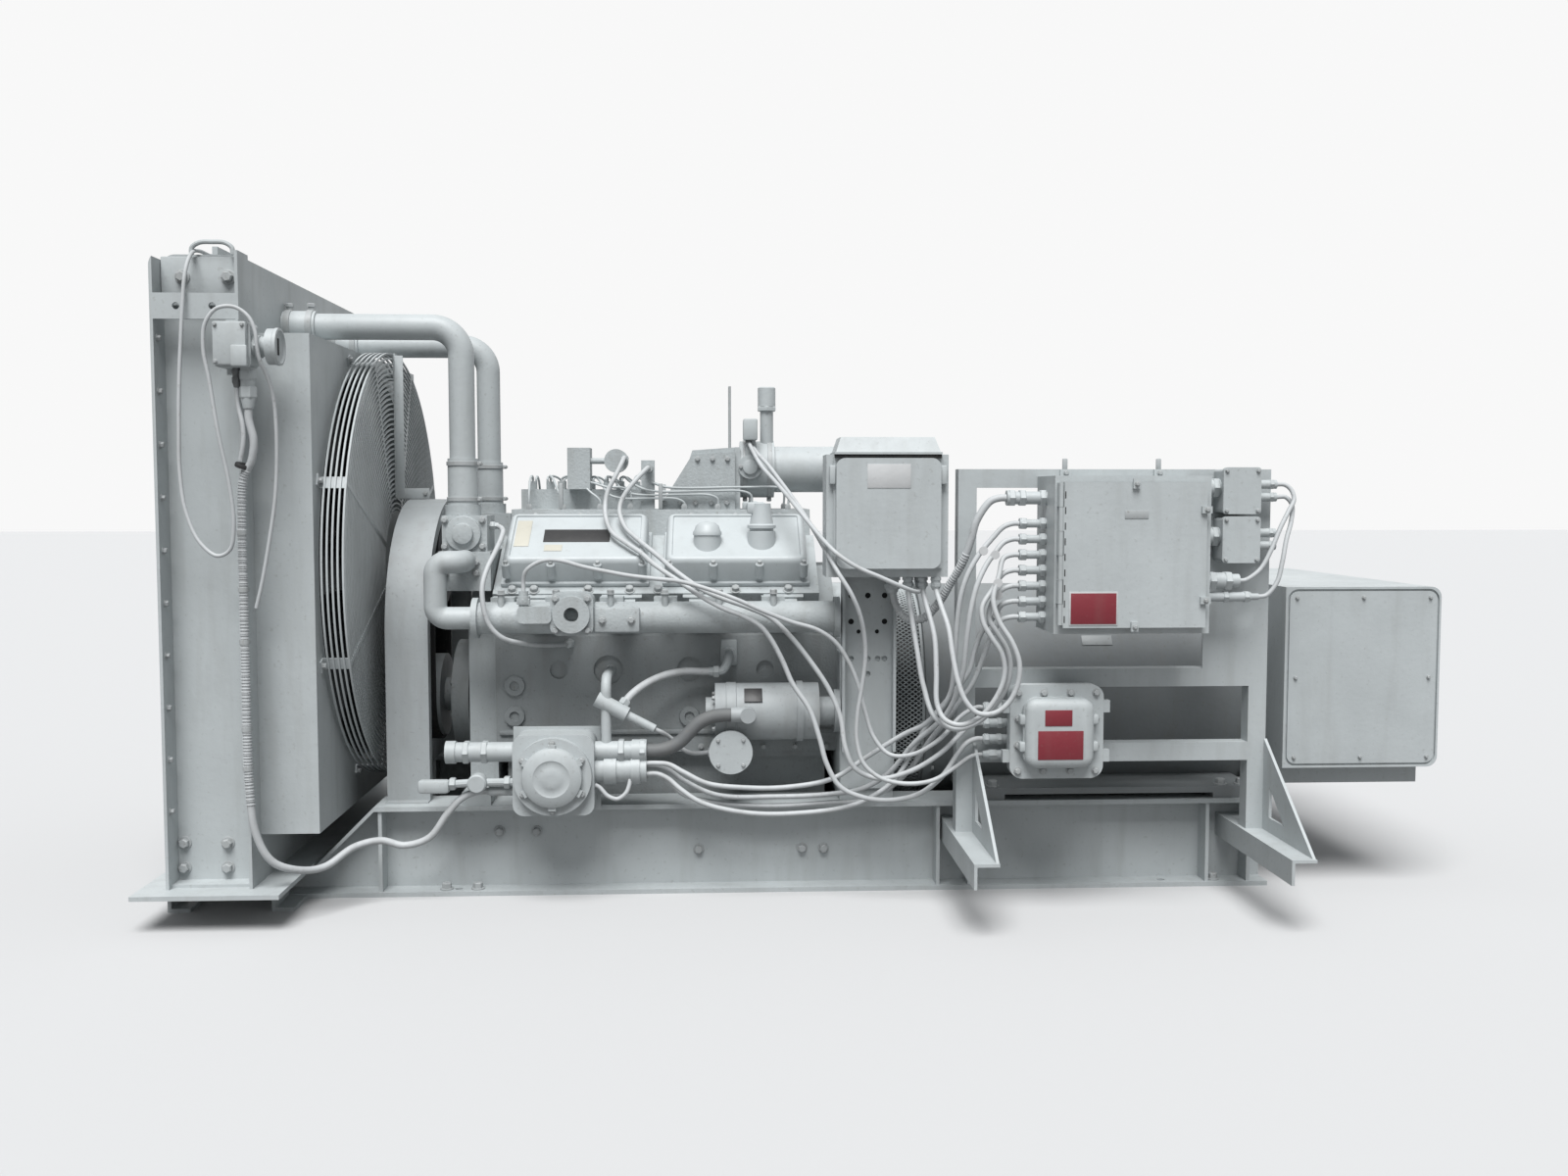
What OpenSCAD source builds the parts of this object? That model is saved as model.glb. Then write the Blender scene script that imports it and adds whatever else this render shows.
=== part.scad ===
// Skid-mounted diesel generating set: V8 engine with a set-mounted radiator, a
// close-coupled generator and a control frame on the left-hand side.
// Millimetres. X runs from the radiator to the generator, the control side is
// -Y and Z is up. The origin lies on the underside of the base, below the crank.

/* [Skid base] */
// Height of the side rails
rail_h = 254; // [220:1:290]
// Width of a rail flange
rail_flange_w = 146; // [120:1:160]
// Thickness of a rail flange
rail_flange_t = 13; // [9:0.5:18]
// Thickness of a rail web
rail_web_t = 8; // [6:0.5:12]
// Distance between the two rail webs
rail_gauge = 774; // [760:1:820]
// Height of the low front end below the radiator
sill_h = 88; // [75:1:100]
// Height of the cross members
cross_h = 110; // [80:1:125]
// Length of one cross member flange
cross_flange = 60; // [45:1:80]
// Radius of the anchor bolt holes
anchor_r = 11; // [8:0.5:14]
// Distance between the anchor holes along the base
anchor_pitch_x = 2000; // [1800:10:2200]
// Offset of the anchor holes outward from the rail web
anchor_off = 42; // [34:1:52]

/* [Radiator] */
// Height of the top of the radiator above the ground
radiator_top = 1732; // [1690:1:1800]
// Width of a radiator column along the machine
column_w = 220; // [190:1:240]
// Depth of a column flange
column_flange = 75; // [55:1:90]
// Plate thickness of a column
column_t = 8; // [6:0.5:12]
// Clear width between the two columns
core_w = 1274; // [1240:1:1320]
// Number of tube rows seen on the core
core_rows = 52; // [30:1:70]
// Height of the top tank
top_tank_h = 197; // [160:1:210]
// Height of the bottom tank
bottom_tank_h = 150; // [120:1:180]
// Thickness of the foot plate
plate_t = 12; // [8:0.5:18]
// Overhang of the foot plate outside a column
plate_over = 60; // [30:1:80]
// Overhang of the foot plate ahead of the columns
plate_front = 71; // [40:1:90]
// Overhang of the foot plate behind the columns
plate_rear = 84; // [60:1:110]

/* [Fan and guards] */
// Height of the core that the fan sweep leaves free
fan_margin = 145; // [130:1:325]
// Distance from the fan sweep to the top of the core
fan_clear = 55; // [45:1:65]
// Number of fan blades
fan_blades = 8; // [6:1:10]
// Pitch angle of a fan blade
fan_pitch = 35; // [25:1:40]
// Radius of the fan hub
fan_hub_r = 110; // [90:1:140]
// Depth of the fan shroud
shroud_depth = 152; // [140:1:180]
// Height of the underside of the shroud
shroud_low = 225; // [200:1:260]
// Sheet thickness of the shroud
shroud_t = 4; // [3:0.5:6]
// Distance from the blade tips to the outside of the fan guard
guard_over = 65; // [45:1:67]
// Depth of the fan guard
guard_depth = 70; // [55:1:85]
// Distance between two face rings of the fan guard
guard_pitch = 15; // [13:0.5:30]
// Thickness of the guard wire
wire_t = 5; // [4:0.5:6]
// Width of the arched belt guard along the machine
belt_guard_w = 119; // [105:1:130]
// Half width of the belt guard
belt_guard_half = 390; // [370:1:400]
// Height of the top of the belt guard above the fan axis
belt_guard_rise = 195; // [180:1:210]
// Sheet thickness of the belt guard
belt_guard_t = 4; // [3:0.5:6]
// Gap between the fan guard face and the belt guard
guard_gap = 46; // [40:1:60]
// Radius of both fan drive pulleys
pulley_r = 125; // [100:1:130]
// Radius of the fan shaft
fan_shaft_r = 30; // [22:1:40]

/* [Engine] */
// Height of the crank axis
crank_z = 506; // [496:1:520]
// Lean of a cylinder bank from the vertical
bank_angle = 32.5; // [30:0.5:35]
// Distance from the crank axis to the head deck
deck_h = 390; // [375:1:405]
// Height of a cylinder head
head_h = 110; // [95:1:120]
// Height of a rocker cover above the head
cover_h = 90; // [80:1:100]
// Distance between the two rocker covers of a bank
cover_pitch = 454; // [440:1:465]
// Length of a rocker cover
cover_len = 417; // [390:1:430]
// Half width of a rocker cover
cover_half = 130; // [120:1:135]
// How far the head stands out below the cover
head_step = 30; // [20:1:40]
// Position of the front face of the block
block_front = -905; // [-925:1:-890]
// Length of the block
block_len = 975; // [960:1:1000]
// Half width of the block skirt
block_half = 335; // [325:1:350]
// Height of the oil pan joint
pan_z = 380; // [365:1:395]
// Depth of the oil pan
pan_h = 230; // [200:1:240]
// Radius of the exhaust manifold
manifold_r = 44; // [38:1:50]
// Thickness of the front gear housing
gear_t = 80; // [65:1:95]
// Radius of the crank damper
damper_r = 168; // [150:1:180]
// Thickness of the crank damper
damper_t = 50; // [40:1:60]
// Radius of the crank stub shaft
crank_r = 45; // [38:1:55]
// Radius of the flywheel housing
flywheel_r = 340; // [320:1:350]
// Length of the flywheel housing
flywheel_len = 150; // [130:1:170]
// Radius of the starter motor
starter_r = 80; // [70:1:85]
// Length of the starter motor
starter_len = 350; // [320:1:380]
// Length of the narrow nose of the starter motor
starter_nose = 60; // [45:1:80]
// Radius of the top coolant pipes
coolant_r = 36; // [30:1:40]
// Radius of the air intake pipe
intake_r = 70; // [60:1:76]

/* [Generator] */
// Radius of the generator barrel
barrel_r = 350; // [335:1:360]
// Length of the generator barrel
barrel_len = 990; // [960:1:1020]
// Length of the screened coupling ring
screen_len = 110; // [95:1:125]
// Plate thickness of the screened coupling ring
screen_t = 10; // [8:1:20]
// Length of the end housing
end_len = 447; // [420:1:470]
// Width of the end housing
end_w = 1000; // [960:1:1040]
// Height of the underside of the end housing
end_low = 348; // [330:1:360]
// Height of the top of the end housing
end_top = 860; // [850:1:880]
// Corner radius of the end housing
end_corner = 30; // [15:1:50]
// Depth of the narrow foot below the end housing
end_foot_h = 55; // [40:1:70]
// Inset of the foot on each side of the end housing
end_foot_in = 60; // [40:1:80]

/* [Control frame] */
// Width of the control frame
frame_w = 855; // [830:1:880]
// Height of the top of the control frame
frame_top = 1187; // [1170:1:1210]
// Size of the frame tube
frame_tube = 50; // [45:1:55]
// Distance of the frame face from the crank line
frame_y = 600; // [590:1:620]
// Distance of the frame behind the coupling ring
frame_gap = 45; // [30:1:70]
// Reach of the outrigger brackets from the crank line
outrigger_y = 945; // [910:1:990]
// Width of an outrigger angle
outrigger_w = 65; // [60:1:75]
// Height of the top of an outrigger
outrigger_top = 200; // [185:1:215]
// Width and height of the control box
box_w = 406; // [380:1:420]
// Depth of the control box
box_d = 200; // [170:1:230]
// Share of the free frame width between the control box and the side boxes
side_share = 0.17; // [0.1:0.01:0.2]
// Margin of the control box around its door
door_margin = 17; // [15:1:28]
// Thickness of the door
door_t = 16; // [12:1:20]
// Clearance behind the closed door
door_gap = 5; // [5:0.5:8]
// Radius of a hinge knuckle
knuckle_r = 6; // [5:0.5:8]
// Size of the square flameproof box
flame_w = 258; // [240:1:270]
// Depth of the square flameproof box with its lid
flame_d = 130; // [110:1:150]
// Radius of the round box lid
round_r = 105; // [95:1:110]
// Width of the hooded junction box
hood_w = 326; // [300:1:340]
// Height of the hooded junction box
hood_h = 372; // [350:1:390]
// Depth of the hooded junction box
hood_d = 160; // [140:1:180]
// Height of the sloping hood on the junction box
hood_rise = 46; // [35:1:60]
// Margin of the hooded box around its cover
hood_margin = 24; // [16:1:32]
// Width of the post of the hooded box
post_w = 150; // [130:1:160]

/* [Hidden] */

$fn = 64;
paint = [0.70, 0.73, 0.74];
cast = [0.50, 0.53, 0.54];
pale = [0.80, 0.83, 0.84];
dark = [0.16, 0.17, 0.18];
hose = [0.40, 0.42, 0.43];

// Running clearance of shafts and pins, gasket gap and gap at a cord's end
run = 0.2;
gasket = 0.1;
cord_gap = 0.4;

// Stations along the machine, from the block outward
block_rear = block_front + block_len;
fly_rear = block_rear + flywheel_len;
barrel_front = fly_rear + screen_len;
barrel_rear = barrel_front + barrel_len;
end_rear = barrel_rear + end_len;
gear_front = block_front - gear_t;
damper_rear = gear_front - 27;
damper_front = damper_rear - damper_t;
belt_rear = damper_front - 22;
belt_front = belt_rear - belt_guard_w;
face_x = belt_front - guard_gap - wire_t;
shroud_rear = face_x - guard_depth;
rad_rear = shroud_rear - shroud_depth;
rad_front = rad_rear - column_w;
plate_x0 = rad_front - plate_front;
plate_x1 = rad_rear + plate_rear;
plate_top = sill_h + plate_t;
rail_front = plate_x1 + rail_h - sill_h;
rail_rear = max(barrel_rear - 20, barrel_front + frame_gap + frame_w + 70);
sill_front = plate_x0 + 20;

// Heights and widths that several pieces share
column_y = core_w / 2 + column_t + column_flange;
core_z0 = plate_top + bottom_tank_h;
core_z1 = radiator_top - top_tank_h;
fan_r = (core_z1 - core_z0 - fan_margin) / 2;
fan_z = core_z1 - fan_r - fan_clear;
guard_r = fan_r + guard_over;
belt_guard_top = fan_z + belt_guard_rise;
// Castings on the engine keep their proportions to the block
u = block_len / 975;
gear_top = crank_z + 344 * u;
gear_low = rail_h + 36;
valley_z = crank_z + 294 * u;
valley_top = crank_z + 569 * u;
rail_in = rail_gauge / 2 - rail_flange_w / 2;
rail_out = rail_gauge / 2 + rail_flange_w / 2;
frame_x0 = barrel_front + frame_gap;
frame_x1 = frame_x0 + frame_w;
side_w = 94;
side_off = 14;
side_x = frame_x1 - frame_tube - side_w - side_off;
box_left = side_x - side_share * (frame_w - box_w) - box_w;
door_w = box_w - 2 * door_margin;
box_z0 = frame_top - 20 - box_w;
box_front = -(frame_y + box_d);
starter_y = -(block_half + starter_r + 12);
starter_z = crank_z + 4;
manifold_y = -472 * u;
manifold_z = crank_z + 274 * u;
coolant_y = [-330 * u, 150 * u];
hinge_x = box_left + (box_w - door_w) / 2 - knuckle_r;
hinge_y = box_front - door_gap - door_t;

// Fittings that the cords leave and enter
gland_y = -frame_y - box_d / 2;
gland_len = 70;
entry_len = 105;
round_x = block_front + 187 * u;
round_y = -rail_out - 60;
round_z = rail_h + 105;
round_d = round_r + 5;
round_in = round_x + round_d + 140;
hood_x = block_rear - 53;
hood_z = frame_top - hood_h + 84;
hood_y1 = -rail_out - 42;
switch_x = rad_rear + 32;
switch_y = -column_y - 40;
switch_z = core_z1 - 201;
elbow_x = block_rear - 306;
elbow_y = starter_y - 100;
elbow_z = starter_z + 5;
hose_x = rad_rear - 120;
hose_y = -core_w / 2 + 77;
hose_z = radiator_top + 10;
gauge_x = block_front + 360 * u;
gauge_y = -165 * u;
gauge_z = crank_z + 720 * u;
bracket_x = block_front + 429 * u;
bracket_z = crank_z + 691 * u;
neck_x = block_front + 108 * u;
neck_y = manifold_y - 60;
neck_z = manifold_z + 78;
flame_x = frame_x0 + 120 + flame_w / 2;
flame_z = crank_z - 14;
inlet_x = flame_x - flame_w / 2 - 55;
inlet_y = -frame_y - 35;
inlet_r = 12;
inlet_pitch = 43;

// Routes of the cords, from the end that leaves a fitting
overflow_route = [
    [hose_x, hose_y - cord_gap, hose_z], [hose_x, hose_y - 24, hose_z],
    [-1598, -640, 1742], [-1600, -678, 1733], [-1602, -708, 1706],
    [-1605, -726, 1664], [-1608, -735, 1600], [-1611, -740, 1536], [-1618, -745, 1400],
    [-1621, -748, 1280], [-1620, -752, 1176], [-1606, -758, 1078], [-1572, -764, 1000],
    [-1528, -768, 965], [-1494, -774, 980], [-1480, -782, 1040], [-1486, -790, 1143],
    [-1508, -798, 1274], [-1525, -802, 1404], [-1536, -804, 1476], [-1530, -804, 1540],
    [-1502, -802, 1576], [-1460, -800, 1580], [-1426, -800, 1556], [-1411, -800, 1520],
    [-1408, -798, 1485], [-1404, -790, 1450], [-1394, -770, 1415], [-1385, -750, 1360],
    [-1382, -742, 1243], [-1391, -735, 1111], [-1414, -730, 977], [-1432, -728, 890],
    [-1448, -725, 830]
];
sensor_route = [
    [switch_x, switch_y, switch_z - cord_gap], [switch_x, switch_y, switch_z - 28],
    [-1434, -758, 1255], [-1442, -752, 1205],
    [-1466, -743, 1160], [-1474, -740, 1040], [-1474, -740, 880], [-1474, -740, 750],
    [-1474, -740, 630], [-1474, -740, 500], [-1472, -740, 380], [-1458, -740, 250],
    [-1425, -725, 175], [-1376, -690, 142], [-1320, -620, 130], [-1255, -560, 168],
    [-1190, -532, 178], [-1130, -524, 162], [-1060, -528, 184], [-1010, -530, 250],
    [-972, -525, 291], [round_x - round_d - 98, round_y, round_z - 50],
    [round_x - round_d - 70 - cord_gap, round_y, round_z - 50]
];
starter_route = [
    [round_in + cord_gap, round_y, round_z + 58], [round_in + 20, round_y, round_z + 58],
    [-411, -521, 423], [-378, -522, 440], [-352, -524, 466], [-326, -526, 492],
    [-293, -527, 509], [elbow_x - 20, elbow_y, elbow_z], [elbow_x - cord_gap, elbow_y, elbow_z]
];
panel_routes = [
    [[452, -668, 738], [435, -655, 681], [412, -640, 615], [385, -626, 570],
     [350, -602, 512], [305, -558, 440], [255, -512, 350], [200, -484, 295],
     [130, -478, 264], [46, -476, 258], [-116, -478, 250], [-277, -490, 264],
     [-368, -500, 290], [-408, -508, 326]],
    [[462, -668, 796], [432, -652, 752], [414, -646, 700], [400, -642, 645],
     [362, -620, 585], [312, -576, 510], [268, -545, 425], [215, -542, 335],
     [110, -552, 270], [-80, -560, 246], [-210, -560, 252], [-318, -552, 278],
     [-374, -540, 312], [-410, -530, 341]],
    [[454, -696, 842], [442, -698, 795], [462, -714, 755], [486, -722, 712],
     [495, -724, 668], [488, -722, 622], [455, -718, 562], [410, -712, 518],
     [352, -700, 500], [302, -680, 530], [276, -652, 610], [262, -630, 700],
     [248, -610, 800]],
    [[446, -714, 868], [418, -728, 826], [420, -736, 786], [440, -742, 748],
     [466, -744, 708], [476, -744, 668], [470, -744, 624], [446, -742, 576],
     [410, -740, 536], [362, -732, 516], [324, -718, 528], [306, -700, 566],
     [306, -682, 650], [304, -660, 740], [286, -622, 829]],
    [[462, -726, 908], [444, -744, 846], [458, -756, 790], [490, -768, 736],
     [508, -772, 683], [505, -772, 629], [483, -770, 581], [445, -768, 552],
     [402, -764, 552], [372, -756, 582], [353, -744, 634], [342, -724, 700],
     [335, -700, 766], [320, -662, 826]],
    [[452, -716, 966], [428, -724, 934], [404, -734, 886], [388, -738, 826],
     [378, -730, 745], [370, -704, 638], [338, -652, 532], [260, -582, 440],
     [200, -526, 350], [130, -494, 300], [46, -486, 284], [-116, -486, 278],
     [-277, -502, 288], [-366, -508, 330], [-408, -507, 360]],
    [[448, -702, 1004], [415, -708, 966], [385, -710, 915], [366, -706, 855],
     [358, -694, 775], [355, -680, 690], [345, -655, 580], [290, -606, 500],
     [235, -566, 464], [141, -540, 400], [43, -546, 340], [-85, -552, 318],
     [-200, -552, 318], [-302, -548, 330], [-366, -541, 360], [-408, -534, 381]],
    [[408, -694, 1050], [396, -684, 1000], [378, -666, 942], [352, -634, 886],
     [322, -600, 825], [285, -570, 782], [242, -552, 782], [214, -544, 820]]
];
engine_routes = [
    [[-550, -218, 1210], [-568, -244, 1170], [-588, -254, 1130], [-595, -268, 1090],
     [-590, -300, 1048], [-570, -340, 1011], [-531, -378, 984], [-485, -420, 956],
     [-446, -470, 926], [-373, -524, 880], [-315, -548, 842], [-258, -564, 812],
     [-202, -570, 790], [-158, -568, 764], [-130, -562, 730], [-98, -558, 671],
     [-68, -558, 603], [-23, -566, 535], [4, -578, 456], [22, -588, 390],
     [58, -596, 328], [116, -602, 300], [190, -612, 292], [270, -628, 312],
     [332, -640, 364], [372, -640, 422]],
    [[-486, -216, 1186], [-509, -238, 1160], [-534, -250, 1128], [-550, -258, 1098],
     [-553, -278, 1068], [-534, -322, 1025], [-495, -368, 991], [-440, -428, 950],
     [-380, -498, 904], [-308, -536, 858], [-244, -546, 832], [-188, -548, 812],
     [-128, -548, 784], [-75, -546, 734], [-28, -544, 676], [30, -552, 590],
     [62, -566, 512], [74, -582, 432], [100, -592, 376], [162, -602, 350],
     [244, -622, 372], [322, -646, 424], [378, -648, 478]],
    [[-789, -541, 912], [-764, -546, 932], [-731, -550, 943], [-689, -552, 940],
     [-640, -552, 926], [-575, -550, 912], [-510, -550, 900], [-443, -552, 892],
     [-370, -558, 884], [-290, -574, 862], [-218, -588, 836], [-150, -588, 806],
     [-75, -580, 776], [0, -572, 752], [48, -570, 718], [84, -572, 664],
     [110, -576, 600], [128, -582, 530], [150, -590, 462], [192, -604, 416],
     [252, -628, 420], [322, -660, 468], [372, -660, 524]]
];
engine_ends = [[gauge_x, gauge_y, gauge_z], [bracket_x, gauge_y, bracket_z],
               [neck_x, neck_y, neck_z]];
// Route of an engine cable, from its fitting to an inlet of the flameproof box
function engine_route(i) = let(
    out = i == 2 ? [0, 0, 1] : [0, -1, 0], e = engine_ends[i],
    f = [inlet_x, inlet_y, inlet_z(i)], y = engine_routes[i][len(engine_routes[i]) - 1][1]) concat(
        [e + cord_gap * out, e + 26 * out], engine_routes[i],
        [f - [42, (inlet_y - y) / 3, 10], f - [16, 0, 0], f - [cord_gap, 0, 0]]);
function inlet_z(i) = flame_z - 30 + i * inlet_pitch;
// Ends of a panel cable: at the round box for a, b, f and g, else at the hooded box
panel_ends = [
    [round_in, round_y + 10, round_z - 10], [round_in, round_y - 7, round_z - 5],
    [hood_x + 223, hood_y1 - 98, hood_z], [hood_x + 262, hood_y1 - 98, hood_z],
    [hood_x + 295, hood_y1 - 120, hood_z], [round_in, round_y + 14, round_z + 12],
    [round_in, round_y - 12, round_z + 25], [hood_x + 188, hood_y1 - 40, hood_z]
];
function panel_route(i) = let(
    x = box_left - (i == 7 ? entry_len : gland_len), z = gland_z(i), e = panel_ends[i],
    y = gland_y + (panel_routes[i][0][1] - gland_y) / 4,
    out = e[2] == hood_z ? [0, 0, -1] : [1, 0, 0]) concat(
        [[x - cord_gap, gland_y, z], [x - 16, gland_y, z], [x - 42, y, z - 9]],
        panel_routes[i], [e + 28 * out, e + cord_gap * out]);
// Height of one of the control box glands
function gland_z(i) = box_z0 + 36 + i * 41 + (i == 7 ? 26 : 0);
// A point of the left bank, given across and along the bank axis
function bank(y, z) = [
    y * cos(bank_angle) - z * sin(bank_angle),
    crank_z + y * sin(bank_angle) + z * cos(bank_angle)
];
function flip(p) = [-p[0], p[1]];
function unit(v) = v / norm(v);
function turn(p, i) = acos(unit(p[i] - p[i - 1]) * unit(p[i + 1] - p[i]));
function trim(p, i, bend) =
    (i == 0 || i == len(p) - 1) ? 0 : bend * tan(turn(p, i) / 2);

// Rings of a cord: a smooth curve through the route, and one frame per ring
function mix4(a, b, c, d, t) = let(
    t1 = sqrt(norm(b - a)), t2 = sqrt(norm(c - b)), t3 = sqrt(norm(d - c)),
    m1 = c - b + t2 * ((b - a) / t1 - (c - a) / (t1 + t2)),
    m2 = c - b + t2 * ((d - c) / t3 - (d - b) / (t2 + t3)))
        b + t * t * (3 - 2 * t) * (c - b) + t * (1 - t) * ((1 - t) * m1 - t * m2);
function smooth(p, k) = let(n = len(p) - 1) [
    for (i = [0:n - 1]) for (j = [0:k - 1])
        mix4(i == 0 ? 2 * p[0] - p[1] : p[i - 1], p[i], p[i + 1],
             i == n - 1 ? 2 * p[n] - p[n - 1] : p[i + 2], j / k),
    p[n]
];
function tangent(q, i) = unit(q[min(i + 1, len(q) - 1)] - q[max(i - 1, 0)]);
function tangents(p, q) = [
    for (i = [0:len(q) - 1]) i == 0 ? unit(p[1] - p[0])
        : i == len(q) - 1 ? unit(p[len(p) - 1] - p[len(p) - 2]) : tangent(q, i)
];
function first_side(t) =
    unit(cross(t, abs(t[2]) < 0.8 ? [0, 0, 1] : [1, 0, 0]));
function sides(t) = [
    for (i = 0, s = first_side(t[0]); i < len(t); i = i + 1,
         s = i < len(t) ? unit(s - (s * t[i]) * t[i]) : s) s
];

module cord(p, r, k = 3, n = 8) {
    q = smooth(p, k);
    t = tangents(p, q);
    s = sides(t);
    m = len(q);
    polyhedron(
        points = [for (i = [0:m - 1]) for (j = [0:n - 1])
            q[i] + r * (cos(j * 360 / n) * s[i]
                + sin(j * 360 / n) * cross(t[i], s[i]))],
        faces = concat(
            [[for (j = [0:n - 1]) n - 1 - j]],
            [for (i = [0:m - 2]) for (j = [0:n - 1])
                [i * n + j, i * n + (j + 1) % n,
                 (i + 1) * n + (j + 1) % n, (i + 1) * n + j]],
            [[for (j = [0:n - 1]) (m - 1) * n + j]]));
}

module slab(x, y, z) {
    translate([x[0], y[0], z[0]])
        cube([x[1] - x[0], y[1] - y[0], z[1] - z[0]]);
}

module rod_x(r, x0, x1, y, z) {
    translate([x0, y, z]) rotate([0, 90, 0]) cylinder(r = r, h = x1 - x0);
}

module rod_y(r, y0, y1, x, z) {
    translate([x, y0, z]) rotate([-90, 0, 0]) cylinder(r = r, h = y1 - y0);
}

module rod_z(r, z0, z1, x, y) {
    translate([x, y, z0]) cylinder(r = r, h = z1 - z0);
}

// Extrusions of a drawing in Y and Z along X, and in X and Z along Y
module along_x(x0, x1) {
    translate([x0, 0, 0]) rotate([90, 0, 90]) linear_extrude(x1 - x0) children();
}

module along_y(y0, y1) {
    translate([0, y1, 0]) rotate([90, 0, 0]) linear_extrude(y1 - y0) children();
}

module rounded(w, h, r) {
    union() {
        square([w - 2 * r, h], center = true);
        square([w, h - 2 * r], center = true);
        for (i = [-1, 1]) for (j = [-1, 1])
            translate([i * (w / 2 - r), j * (h / 2 - r)]) circle(r);
    }
}

module ring(outer, inner) {
    difference() {
        circle(outer);
        circle(inner);
    }
}

module stick(a, b, r) {
    d = unit(b - a);
    translate(a) rotate([0, acos(d[2]), atan2(d[1], d[0])])
        cylinder(r = r, h = norm(b - a));
}

module bent_pipe(p, r, bend) {
    n = len(p);
    union() {
        for (i = [0:n - 2])
            stick(p[i] + trim(p, i, bend) * unit(p[i + 1] - p[i]),
                  p[i + 1] - trim(p, i + 1, bend) * unit(p[i + 1] - p[i]), r);
        for (i = [1:n - 2]) {
            d1 = unit(p[i] - p[i - 1]);
            d2 = unit(p[i + 1] - p[i]);
            c = p[i] + unit(d2 - d1) * bend / cos(turn(p, i) / 2);
            e = unit(p[i] - trim(p, i, bend) * d1 - c);
            z = cross(e, d1);
            multmatrix([[e[0], d1[0], z[0], c[0]], [e[1], d1[1], z[1], c[1]],
                        [e[2], d1[2], z[2], c[2]], [0, 0, 0, 1]])
                rotate_extrude(angle = turn(p, i)) translate([bend, 0]) circle(r);
        }
    }
}

module in_bank(side) {
    mirror([0, side == "left" ? 0 : 1, 0])
        translate([0, 0, crank_z]) rotate([bank_angle, 0, 0]) children();
}

module side_rail() {
    hw = rail_flange_w / 2;
    translate([0, -rail_gauge / 2, 0]) difference() {
        union() {
            slab([sill_front, rail_rear], [-hw, hw], [0, rail_flange_t]);
            along_y(-rail_web_t / 2, rail_web_t / 2) polygon([
                [sill_front, rail_flange_t], [rail_rear, rail_flange_t],
                [rail_rear, rail_h - rail_flange_t],
                [rail_front, rail_h - rail_flange_t],
                [plate_x1, sill_h - rail_flange_t],
                [sill_front, sill_h - rail_flange_t]]);
            along_y(-hw, hw) polygon([
                [sill_front, sill_h - rail_flange_t], [plate_x1, sill_h - rail_flange_t],
                [rail_front, rail_h - rail_flange_t],
                [rail_rear, rail_h - rail_flange_t], [rail_rear, rail_h],
                [rail_front, rail_h], [plate_x1, sill_h], [sill_front, sill_h]]);
            for (x = [rail_front + 10, frame_x0 - 30, frame_x0 + 60, frame_x1 - 110,
                      frame_x1 + 10])
                slab([x, x + 10], [-hw + 6, hw - 6], [rail_flange_t, rail_h - rail_flange_t]);
        }
        for (x = [-anchor_pitch_x / 2, anchor_pitch_x / 2])
            rod_z(anchor_r, -1, rail_flange_t + 1, x, -anchor_off);
    }
}

module base_rails() {
    color(paint) {
        side_rail();
        mirror([0, 1, 0]) side_rail();
    }
}

module base_cross_members() {
    color(paint)
        for (x = [belt_front - 40, -cross_flange / 2, fly_rear + 20, rail_rear - 100]) {
            slab([x, x + cross_flange], [-rail_in, rail_in], [0, rail_flange_t]);
            slab([x, x + cross_flange], [-rail_in, rail_in],
                 [cross_h - rail_flange_t, cross_h]);
            slab([x, x + 10], [-(rail_gauge - rail_web_t) / 2, (rail_gauge - rail_web_t) / 2],
                 [rail_flange_t, cross_h - rail_flange_t]);
        }
}

module radiator_sills() {
    color(paint)
        for (x = [sill_front, plate_x1 - cross_flange - 20])
            for (y = [[-column_y + 140, -rail_out], [-rail_in, rail_in],
                      [rail_out, column_y - 140]])
                difference() {
                    slab([x, x + cross_flange], y, [0, sill_h]);
                    slab([x + 10, x + cross_flange + 1], y + [-1, 1], [10, sill_h - 10]);
                }
}

module radiator_foot_plate() {
    color(paint) slab([plate_x0, plate_x1], [-column_y - plate_over, column_y + plate_over],
                      [sill_h, plate_top]);
}

module radiator_column() {
    web = core_w / 2;
    r = 40;
    difference() {
        union() {
            slab([rad_front, rad_rear], [-web - column_t, -web], [plate_top, radiator_top]);
            for (x = [rad_front, rad_rear - column_t])
                slab([x, x + column_t], [-column_y, -web - column_t],
                     [plate_top, radiator_top]);
            slab([rad_front + column_t, rad_rear - column_t],
                 [-column_y + 20, -web - column_t], [plate_top, plate_top + column_t]);
            slab([rad_front + column_t, rad_rear - column_t],
                 [-column_y, -column_y + column_t],
                 [core_z1 + 25, core_z1 + 25 + outrigger_w]);
        }
        for (x = [rad_front + 65, rad_rear - 65])
            rod_y(9, -column_y - 1, -column_y + column_t + 1, x,
                  core_z1 + 25 + outrigger_w / 2);
        difference() {
            slab([rad_front - 1, rad_front + r], [-column_y - 1, -web + 1],
                 [radiator_top - r, radiator_top + 1]);
            rod_y(r, -column_y - 2, -web + 2, rad_front + r, radiator_top - r);
        }
    }
}

module radiator_columns() {
    color(paint) {
        radiator_column();
        mirror([0, 1, 0]) radiator_column();
    }
}

module radiator_core() {
    pitch = core_w / core_rows;
    x0 = rad_front + 15;
    color(dark) difference() {
        slab([x0, rad_rear], [-core_w / 2, core_w / 2], [core_z0, core_z1]);
        for (i = [1:core_rows - 2])
            translate([0, -core_w / 2 + (i + 0.25) * pitch, 0])
                slab([x0 - 1, x0 + 14], [0, pitch / 2], [core_z0 + 20, core_z1 - 20]);
    }
}

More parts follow.
